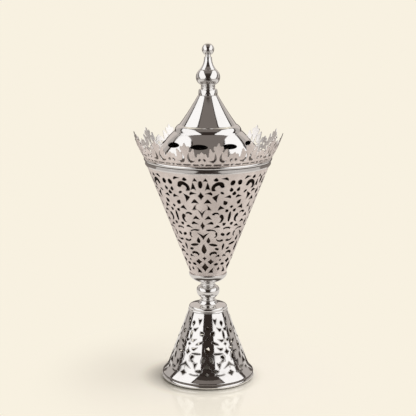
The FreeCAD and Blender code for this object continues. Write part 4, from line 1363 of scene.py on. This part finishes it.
@dataclass
class Stem:
    """The turned pieces between base and body, and the spun cup that holds the cone.

    Each foot and the cone's seat are heights, the others radii.
    """

    foot: float = 71.2
    ball_foot: float = 73.6
    collar_foot: float = 84.4
    cup_foot: float = 88.8
    cone_seat: float = 95.0
    cup_lip: float = 16.95
    cup_seat: float = 15.25
    cup_foot_radius: float = 7.6
    bore: float = 2.65

    def build(self, shop: Shop) -> None:
        """Build the four pieces."""
        Turned("stem_bead", [
            (self.bore, self.foot, 0),
            (6.2, self.foot, arc(60)),
            (6.2, self.ball_foot, 0),
            (self.bore, self.ball_foot, 0),
        ], segments=96).build(shop)
        Turned("stem_ball", [
            (self.bore, self.ball_foot, 0),
            (6.5, self.ball_foot, arc(62)),
            (10.3, self.ball_foot + 6.6, arc(84)),
            (6.9, self.collar_foot, 0),
            (self.bore, self.collar_foot, 0),
        ], segments=120).build(shop)
        Turned("stem_collar", [
            (self.bore, self.collar_foot, 0),
            (6.4, self.collar_foot, arc(110)),
            (6.2, self.collar_foot + 1.7, -arc(50)),
            (7.4, self.cup_foot, 0),
            (self.bore, self.cup_foot, 0),
        ], segments=96).build(shop)
        Turned("body_cup", [
            (self.bore, self.cup_foot, 0),
            (self.cup_foot_radius, self.cup_foot, arc(62)),
            (self.cup_lip, self.cone_seat, 0),
            (self.cup_lip, self.cone_seat + 1.8, 0),
            (self.cup_lip - 1, self.cone_seat + 1.8, 0),
            (self.cup_seat, self.cone_seat, 0),
            (self.cup_seat - 0.7, self.cone_seat, -arc(62)),
            (self.cup_foot_radius, self.cup_foot + 1, 0),
            (self.bore, self.cup_foot + 1, 0),
        ]).build(shop)


@dataclass
class Bowl:
    """The pierced cone with its lining and rim band, the crown, and the ring that seats the pan.

    Pairs are a radius and a height, but the band gives where the piercing starts and ends, in
    shares of the cone's way. The lining stands lining_gap inside the cone and stops lining_end
    short of its foot and mouth.
    """

    foot: tuple[float, float] = (15.2, 95.0)
    mouth: tuple[float, float] = (54.7, 196.5)
    band: tuple[float, float] = (0.030, 0.975)
    repeats: int = 5
    phase: float = -7.5
    wall: float = 0.6
    rim: float = 56.0
    rebate: float = 54.95
    seat_foot: float = 196.7
    seat_top: float = 199.6
    seat_outer: float = 54.05
    seat_inner: float = 48.45
    lining_gap: float = 0.9
    lining_wall: float = 0.4
    lining_end: float = 3.0
    crown_repeats: int = 14
    crown_phase: float = 8.0
    crown_foot_radius: float = 54.85
    crown_foot: float = 199.2
    crown_hip: tuple[float, float] = (56.3, 201.75)
    crown_tip: tuple[float, float] = (65.7, 222.6)

    def build(self, shop: Shop) -> None:
        """Build the five pieces."""
        line = Line.drawn([(*self.foot, 0), (*self.mouth, 0)])
        low, high = (share * float(line.way[-1]) for share in self.band)
        pattern = Openwork(CONE_MOTIFS, self.repeats, self.phase, low, high, grid=3.0)
        sheet = pattern.sheet(line, self.wall)
        shop.add(sheet, "body_cone", Body.BURNER, Slot.SATIN, SATIN, SATIN_INSIDE)
        self.build_crown(shop)
        self.build_lining(shop)
        mouth, top = self.mouth
        Turned("rim_band", [
            (mouth - 0.8, top - 2.2, 0),
            (mouth - 0.3, top - 2.2, -arc(50)),
            (self.rim - 0.8, top - 1.1, 0),
            (self.rim - 0.8, top + 2.0, 0),
            (self.rim - 0.5, top + 2.1, arc(120)),
            (self.rim - 0.5, top + 4.9, 0),
            (self.rebate, top + 4.9, 0),
            (self.rebate, self.crown_foot, 0),
            (mouth - 0.6, self.crown_foot, 0),
            (mouth - 0.6, top, 0),
            (mouth + 0.05, top, 0),
        ], finish=RIM, soft=0.12, segments=192).build(shop)
        Turned("pan_seat_ring", [
            (self.seat_outer - 1, self.seat_foot, 0),
            (self.seat_outer, self.seat_foot, 0),
            (self.seat_outer, self.seat_top, 0),
            (self.seat_inner, self.seat_top, 0),
            (self.seat_inner, self.seat_top - 1, 0),
            (self.seat_outer - 1, self.seat_top - 1, 0),
        ], slot=Slot.SHEET, finish=PAN_SHEET, soft=0.15).build(shop)

    def build_lining(self, shop: Shop) -> None:
        """Build the dark sheet behind the piercing, which the holes look onto; its near-black
        colour is soot and painted shade.
        """
        back, sheet, end = self.wall + self.lining_gap, self.lining_wall, self.lining_end
        rise = self.mouth[1] - self.foot[1]
        slope = (self.mouth[0] - self.foot[0]) / rise
        top = self.foot[0] + slope * (rise - end) - back
        low = self.foot[0] + slope * end - back
        line = Line.drawn([
            (low - sheet, self.foot[1] + end, 0),
            (low, self.foot[1] + end, 0),
            (top, self.mouth[1] - end, 0),
            (top - sheet, self.mouth[1] - end, 0),
        ], closed=True, soft=0.1)
        item = spun(line).to_object("cone_lining", shop.finish(SOOT_AND_SHADE_LINING))
        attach(item, Body.BURNER.value)
        LOG.info("%s", item.name)

    def build_crown(self, shop: Shop) -> None:
        """Build the crown: a flaring strip of leaves and scrolls, its foot in the band's rebate."""
        line = Line.drawn([
            (self.crown_foot_radius, self.crown_foot, 0),
            (self.crown_foot_radius, self.crown_hip[1] - 0.35, 0),
            (*self.crown_hip, arc(14)),
            (*self.crown_tip, 0),
        ], soft=0.15, spacing=2.2)
        low = line.way_at_height(self.crown_hip[1])
        end = float(line.way[-1])
        pattern = Openwork(
            CROWN_MOTIFS, self.crown_repeats, self.crown_phase, low, end, CROWN_EDGE, grid=2.4
        )
        sheet = pattern.sheet(line, self.wall, lip=0.08)
        shop.add(sheet, "crown", Body.BURNER, Slot.SATIN, SATIN, SATIN_BRIGHT)


@dataclass
class CoalPan:
    """The lift-out dish for the charcoal."""

    floor: float = 177.6
    lip: float = 200.6
    lip_radius: float = 53.5
    bore: float = 44.0
    wall: float = 1.0
    floor_radius: float = 36.0
    bend_top: float = 184.6

    def build(self, shop: Shop) -> None:
        """Build the dish from its axis out under the floor, up the wall and back over the lip."""
        line = Line.drawn([
            (0, self.floor, 0),
            (self.floor_radius, self.floor, arc(72)),
            (self.bore + self.wall, self.bend_top, 0),
            (self.bore + self.wall, self.lip - self.wall, 0),
            (self.lip_radius, self.lip - self.wall, 0),
            (self.lip_radius, self.lip, 0),
            (self.bore, self.lip, 0),
            (self.bore, self.bend_top, -arc(72)),
            (self.floor_radius, self.floor + self.wall, 0),
            (0, self.floor + self.wall, 0),
        ], soft=0.2)
        shop.add(spun(line), "coal_pan", Body.PAN, Slot.SHEET, PAN_SHEET)


@dataclass
class Lid:
    """The spired roof with its vents, and the ring under it that centres it in the pan.

    Pairs are a radius and a height.
    """

    brim: tuple[float, float] = (53.3, 201.6)
    shoulder: tuple[float, float] = (38.2, 215.0)
    vent_length: float = 15.4
    vent_width: float = 5.6
    vents: int = 9
    vent_phase: float = -11.5
    top: tuple[float, float] = (8.7, 255.2)
    bore: float = 1.75
    wall: float = 1.0
    ring: float = 43.4
    ring_foot: float = 196.6
    ring_top: float = 208.5

    def build(self, shop: Shop) -> None:
        """Build the roof and the ring."""
        line = Line.drawn([
            (*self.brim, 0),
            (self.brim[0] - 1.3, self.brim[1], 0),
            (*self.shoulder, arc(12)),
            (29.6, 224.0, 0),
            (29.3, 224.4, arc(62)),
            (25.4, 229.5, 0),
            (24.9, 229.9, -arc(7)),
            (*self.top, 0),
            (self.bore, self.top[1], 0),
        ], soft=0.2, spacing=2.4)
        low, high = line.way_at_height(self.brim[1] + 0.2), line.way_at_height(self.shoulder[1])
        half_arc = math.pi / self.vents * self.shoulder[0]
        vent = Motif(
            "leaf", 0.0, 1.0, self.vent_length / half_arc, self.vent_width / (high - low)
        )
        pattern = Openwork((vent,), self.vents, self.vent_phase, low, high, grid=2.4, steps=14)
        sheet = pattern.sheet(line, self.wall)
        shop.add(sheet, "lid_dome", Body.LID, Slot.POLISHED, ROOF, PAN_SHEET)
        Turned("lid_locating_ring", [
            (self.ring - self.wall, self.ring_foot, 0),
            (self.ring, self.ring_foot, 0),
            (self.ring, self.ring_top, 0),
            (self.ring - self.wall, self.ring_top + 0.9, 0),
        ], Body.LID, Slot.SHEET, PAN_SHEET, soft=0.12).build(shop)


@dataclass
class Finial:
    """The turned collar, bulb, spire and ball on the lid.

    Neck, ball and bore are radii, the others heights.
    """

    foot: float = 255.2
    collar_top: float = 262.9
    bulb_top: float = 277.5
    shoulder: float = 288.1
    spire_top: float = 289.9
    neck: float = 2.3
    ball: float = 5.3
    bore: float = 1.75

    def build(self, shop: Shop) -> None:
        """Build the four pieces."""
        body = Body.LID
        Turned("finial_collar", [
            (self.bore, self.foot, 0),
            (8.3, self.foot, 0),
            (8.3, self.foot + 2.2, arc(8)),
            (7.9, self.foot + 5.0, 0),
            (6.0, self.foot + 5.4, 0),
            (6.0, self.collar_top - 1.0, arc(150)),
            (6.0, self.collar_top, 0),
            (self.bore, self.collar_top, 0),
        ], body, segments=96).build(shop)
        Turned("finial_bulb", [
            (self.bore, self.collar_top, 0),
            (6.1, self.collar_top, 0),
            (6.1, self.collar_top + 1.3, arc(68)),
            (10.5, self.collar_top + 7.6, arc(52)),
            (7.1, self.bulb_top, 0),
            (self.bore, self.bulb_top, 0),
        ], body, segments=120).build(shop)
        Turned("finial_spire", [
            (self.bore, self.bulb_top, 0),
            (7.1, self.bulb_top, -arc(43)),
            (3.4, self.shoulder, 0),
            (self.neck, self.shoulder + 0.4, 0),
            (self.neck, self.spire_top, 0),
            (0.05, self.spire_top, 0),
            (0.05, self.shoulder - 1.5, 0),
            (self.bore, self.shoulder - 1.5, 0),
        ], body, segments=96).build(shop)
        seat = math.asin(self.neck / self.ball)
        middle = self.spire_top + self.ball * math.cos(seat)
        line = Line.drawn([
            (0, self.spire_top, 0),
            (self.neck, self.spire_top, arc(math.degrees(math.pi - seat))),
            (0, middle + self.ball, 0),
        ], soft=0.06, spacing=0.8)
        shop.add(spun(line, 96), "finial_tip_ball", body, Slot.POLISHED, MIRROR)


@dataclass
class Fasteners:
    """The rods, nuts and washers inside, whose CAD shapes stay."""

    nodes: tuple[str, ...] = (
        "tie_rod", "tie_lower_washer", "tie_upper_washer", "tie_lower_nut", "tie_upper_nut",
        "finial_stud", "finial_washer", "finial_nut",
    )

    def build(self, shop: Shop) -> None:
        """Dress each node in plain steel."""
        for node in self.nodes:
            shop.dress(node, STEEL)


@dataclass(frozen=True)
class Panel:
    """A panel round the object, by its angle, distance, height and place aside, in metres.

    Roll turns it about its own normal, in degrees, and a lying panel is level.
    """

    name: str
    around: float
    away: float
    height: float
    size: tuple[float, float]
    color: Color
    aside: float = 0.0
    roll: float = 0.0
    lying: bool = False


@dataclass
class Studio:
    """The pale floor, the soft lights and the camera at the photo's viewing angle."""

    ground: Color = (0.939, 0.880, 0.752)
    lens: float = 102.76
    sensor: float = 36.0
    pitch: float = 0.205441805
    eye: tuple[float, float, float] = (0.0, -1.02842, 0.36939)
    box: Panel = Panel(
        "softbox", 73, 1.20, 1.40, (1.56, 3.80), (1.10, 1.10, 1.10), aside=0.30, roll=-45
    )
    box_frame: float = 0.26
    box_depth: float = 0.03
    frame_color: Color = (0.050, 0.038, 0.032)
    key_size: float = 0.90
    key_power: float = 6.5
    key_place: tuple[float, float, float] = (0.62, -0.10, 1.25)
    room_light: float = 0.30
    floor_size: float = 80.0
    floor_drop: float = 0.0003
    near_reach: float = 0.17
    near_core: float = 0.3
    floor_tone: Color = (0.80, 0.77, 0.715)
    floor_glow: float = 0.57
    floor_gloss: float = 0.18
    floor_rough: float = 0.1
    floor_boards: float = 0.01
    foot_radius: float = 0.030
    shade_radius: float = 0.060
    shade_centre: tuple[float, float, float] = (-0.006, 0.0, 0.0)
    # Each board: its name, angle, distance, height, size and colour.
    boards: tuple[Panel, ...] = (
        Panel("front_low_board", 0, 1.80, 0.60, (3.4, 1.4), (0.035, 0.026, 0.022)),
        Panel("front_high_board", 0, 1.81, 2.00, (3.4, 1.4), (0.050, 0.040, 0.034)),
        Panel("roof_board", 0, 0.40, 2.70, (3.4, 3.4), (0.200, 0.175, 0.160), lying=True),
        Panel("low_board", 0, 0.85, 0.002, (2.6, 2.3), (0.560, 0.530, 0.510), lying=True),
        Panel("near_board", 0, -0.08, 0.003, (1.3, 0.8), (0.760, 0.725, 0.690), lying=True),
        Panel("back_board", 180, 2.60, 1.10, (7.0, 2.4), (0.660, 0.600, 0.560)),
        # A dark panel round the foot that only reflections see: painted shade of the floor under
        # and beside the base.
        Panel("foot_shade_board", 0, 0.0, 0.0045, (0.15, 0.15), (0.100, 0.085, 0.075), lying=True),
        Panel("back_low_board", 180, 2.58, 0.10, (7.0, 0.8), (0.130, 0.110, 0.100)),
        Panel("low_back_board", 180, 1.45, 0.002, (7.0, 2.3), (0.230, 0.200, 0.182), lying=True),
        Panel("low_dark_board", 0, 1.05, 0.004, (0.68, 1.5), (0.035, 0.026, 0.022), lying=True),
        Panel("left_side_board", -122, 3.00, 1.60, (3.3, 4.0), (0.500, 0.465, 0.440)),
        Panel("right_side_board", 122, 3.00, 1.60, (3.3, 4.0), (0.500, 0.465, 0.440)),
    )

    def build(self) -> None:
        """Build the whole studio."""
        self.build_camera()
        self.build_world()
        self.build_floor()
        for board in self.boards:
            self.build_board(board)
        for name, side in (("left", -1), ("right", 1)):
            self.build_softbox(name, side)
        key = self.lamp("key_box", (self.key_size, self.key_size), self.key_power)
        key.visible_glossy = False
        key.location = self.key_place
        key.rotation_euler = (-key.location).to_track_quat("-Z", "Y").to_euler()

    def build_camera(self) -> None:
        """Place the camera, with no shift and no depth of field."""
        data = bpy.data.cameras.new("camera")
        data.lens, data.sensor_width = self.lens, self.sensor
        camera = bpy.data.objects.new("camera", data)
        camera.location = self.eye
        camera.rotation_euler = (math.pi / 2 - self.pitch, 0, 0)
        bpy.context.scene.collection.objects.link(camera)
        bpy.context.scene.camera = camera

    @staticmethod
    def shown(graph: Graph) -> bpy.types.NodeSocket:
        """Return 1 for the rays that show the background: camera, glossy and transmission rays."""
        path = graph.add("ShaderNodeLightPath").outputs
        seen = graph.math("MAXIMUM", path["Is Camera Ray"], path["Is Glossy Ray"])
        return graph.math("MAXIMUM", seen, path["Is Transmission Ray"])

    def build_world(self) -> None:
        """Light the room evenly with the ground's pale colour."""
        world = bpy.data.worlds.new("room")
        world.use_nodes = True
        world.node_tree.nodes.clear()
        graph = Graph(world.node_tree)
        strength = graph.math("MAXIMUM", self.shown(graph), self.room_light)
        glow = {"Color": (*self.ground, 1.0), "Strength": strength}
        light = graph.add("ShaderNodeBackground", glow)
        graph.add("ShaderNodeOutputWorld", {"Surface": light.outputs[0]})
        bpy.context.scene.world = world

    def build_floor(self) -> None:
        """Lay the pale floor: a lit, slightly glossy sheet that fades into a plain glow.

        Its own glow fades out under the foot, where the object keeps the room's light away.
        """
        item, graph = new_material("floor")
        where = graph.add("ShaderNodeTexCoord").outputs["Object"]
        away = graph.add("ShaderNodeVectorMath", {0: where}, operation="LENGTH").outputs["Value"]
        far = graph.remap(away, self.near_core * self.near_reach, self.near_reach)
        seen = self.shown(graph)
        places = {0: where, 1: self.shade_centre}
        beside = graph.add("ShaderNodeVectorMath", places, operation="DISTANCE").outputs["Value"]
        open_air = graph.remap(beside, self.foot_radius, self.shade_radius)
        plain = graph.add("ShaderNodeEmission", {"Color": (*self.ground, 1.0), "Strength": seen})
        lift = graph.math("MULTIPLY", graph.math("MULTIPLY", seen, open_air), self.floor_glow)
        glow = graph.add("ShaderNodeEmission", {"Color": (*self.ground, 1.0), "Strength": lift})
        lit = graph.add("ShaderNodeBsdfDiffuse", {"Color": (*self.floor_tone, 1.0)})
        gloss = graph.add("ShaderNodeBsdfGlossy", {
            "Color": (1.0, 1.0, 1.0, 1.0),
            "Roughness": self.floor_rough,
        })
        sheet = graph.add("ShaderNodeAddShader", {0: glow.outputs[0], 1: lit.outputs[0]})
        near = graph.add("ShaderNodeMixShader", {
            0: self.floor_gloss, 1: sheet.outputs[0], 2: gloss.outputs[0],
        })
        whole = graph.add("ShaderNodeMixShader", {0: far, 1: near.outputs[0], 2: plain.outputs[0]})
        graph.add("ShaderNodeOutputMaterial", {"Surface": whole.outputs[0]})
        floor = self.panel("floor", (self.floor_size, self.floor_size))
        floor.location.z = -self.floor_drop
        floor.data.materials.append(item)

    @staticmethod
    def panel(name: str, size: tuple[float, float]) -> bpy.types.Object:
        """Lay a flat panel in the studio.

        Args:
            name: Its name.
            size: Its width and height in metres.

        Returns:
            The panel.
        """
        data = bpy.data.meshes.new(name)
        x, y = size[0] / 2, size[1] / 2
        data.from_pydata([(-x, -y, 0), (x, -y, 0), (x, y, 0), (-x, y, 0)], [], [(0, 1, 2, 3)])
        item = bpy.data.objects.new(name, data)
        bpy.context.scene.collection.objects.link(item)
        return item

    @staticmethod
    def stand(item: bpy.types.Object, panel: Panel) -> None:
        """Stand an item where a panel is, with its -Z turned level towards the object's axis.

        The place is away from the axis at the angle, then aside along the panel's own width.

        Args:
            item: The lamp or board.
            panel: The panel.
        """
        turn = math.radians(panel.around)
        out = Vector((math.sin(turn), -math.cos(turn), 0))
        along = Vector((math.cos(turn), math.sin(turn), 0))
        item.location = out * panel.away + along * panel.aside + Vector((0, 0, panel.height))
        if panel.lying:
            return
        facing = (-out).to_track_quat("-Z", "Y")
        rolled = Quaternion((0, 0, 1), math.radians(panel.roll))
        item.rotation_euler = (facing @ rolled).to_euler()

    def build_board(self, board: Panel) -> None:
        """Stand a board that only reflections see.

        A board on the floor is clear from below, so that the floor's own gloss shows the object.

        Args:
            board: The board.
        """
        item, graph = new_material(board.name)
        light = graph.add("ShaderNodeEmission", {"Color": (*board.color, 1.0), "Strength": 1.0})
        if board.lying and board.height < self.floor_boards:
            below = graph.add("ShaderNodeNewGeometry").outputs["Backfacing"]
            clear = graph.add("ShaderNodeBsdfTransparent")
            faces = {0: below, 1: light.outputs[0], 2: clear.outputs[0]}
            light = graph.add("ShaderNodeMixShader", faces)
        graph.add("ShaderNodeOutputMaterial", {"Surface": light.outputs[0]})
        face = self.panel(board.name, board.size)
        face.data.materials.append(item)
        self.stand(face, board)
        face.visible_camera = face.visible_diffuse = face.visible_shadow = False

    def build_softbox(self, name: str, side: int) -> None:
        """Stand a softbox at one side, with a dark frame behind it.

        Args:
            name: What the side is called.
            side: 1 for the right, -1 for the left.
        """
        around, aside, roll = (side * v for v in (self.box.around, self.box.aside, self.box.roll))
        box = replace(self.box, around=around, aside=aside, roll=roll)
        width, height = box.size
        lamp = self.lamp(f"{name}_box", box.size, math.pi * width * height * box.color[0])
        self.stand(lamp, box)
        lamp.visible_diffuse = False
        rim = 2 * self.box_frame
        self.build_board(replace(
            box,
            name=f"{name}_frame",
            away=box.away + self.box_depth,
            size=(width + rim, height + rim),
            color=self.frame_color,
        ))

    @staticmethod
    def lamp(name: str, size: tuple[float, float], power: float) -> bpy.types.Object:
        """Make a softbox that the camera doesn't see.

        Args:
            name: Its name.
            size: Its width and height in metres.
            power: Its power in watts.

        Returns:
            The lamp.
        """
        data = bpy.data.lights.new(name, "AREA")
        data.shape = "RECTANGLE"
        data.size, data.size_y = size
        data.energy = power
        item = bpy.data.objects.new(name, data)
        item.visible_camera = False
        bpy.context.scene.collection.objects.link(item)
        return item


def main() -> None:
    """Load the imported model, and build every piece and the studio."""
    logging.basicConfig(level=logging.INFO, format="%(message)s")
    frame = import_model()
    shop = Shop(frame)
    for part in (Base(), Stem(), Bowl(), CoalPan(), Lid(), Finial(), Fasteners()):
        part.build(shop)
    Studio().build()
    bpy.context.scene.view_settings.view_transform = "Standard"


if __name__ == "__main__":
    main()
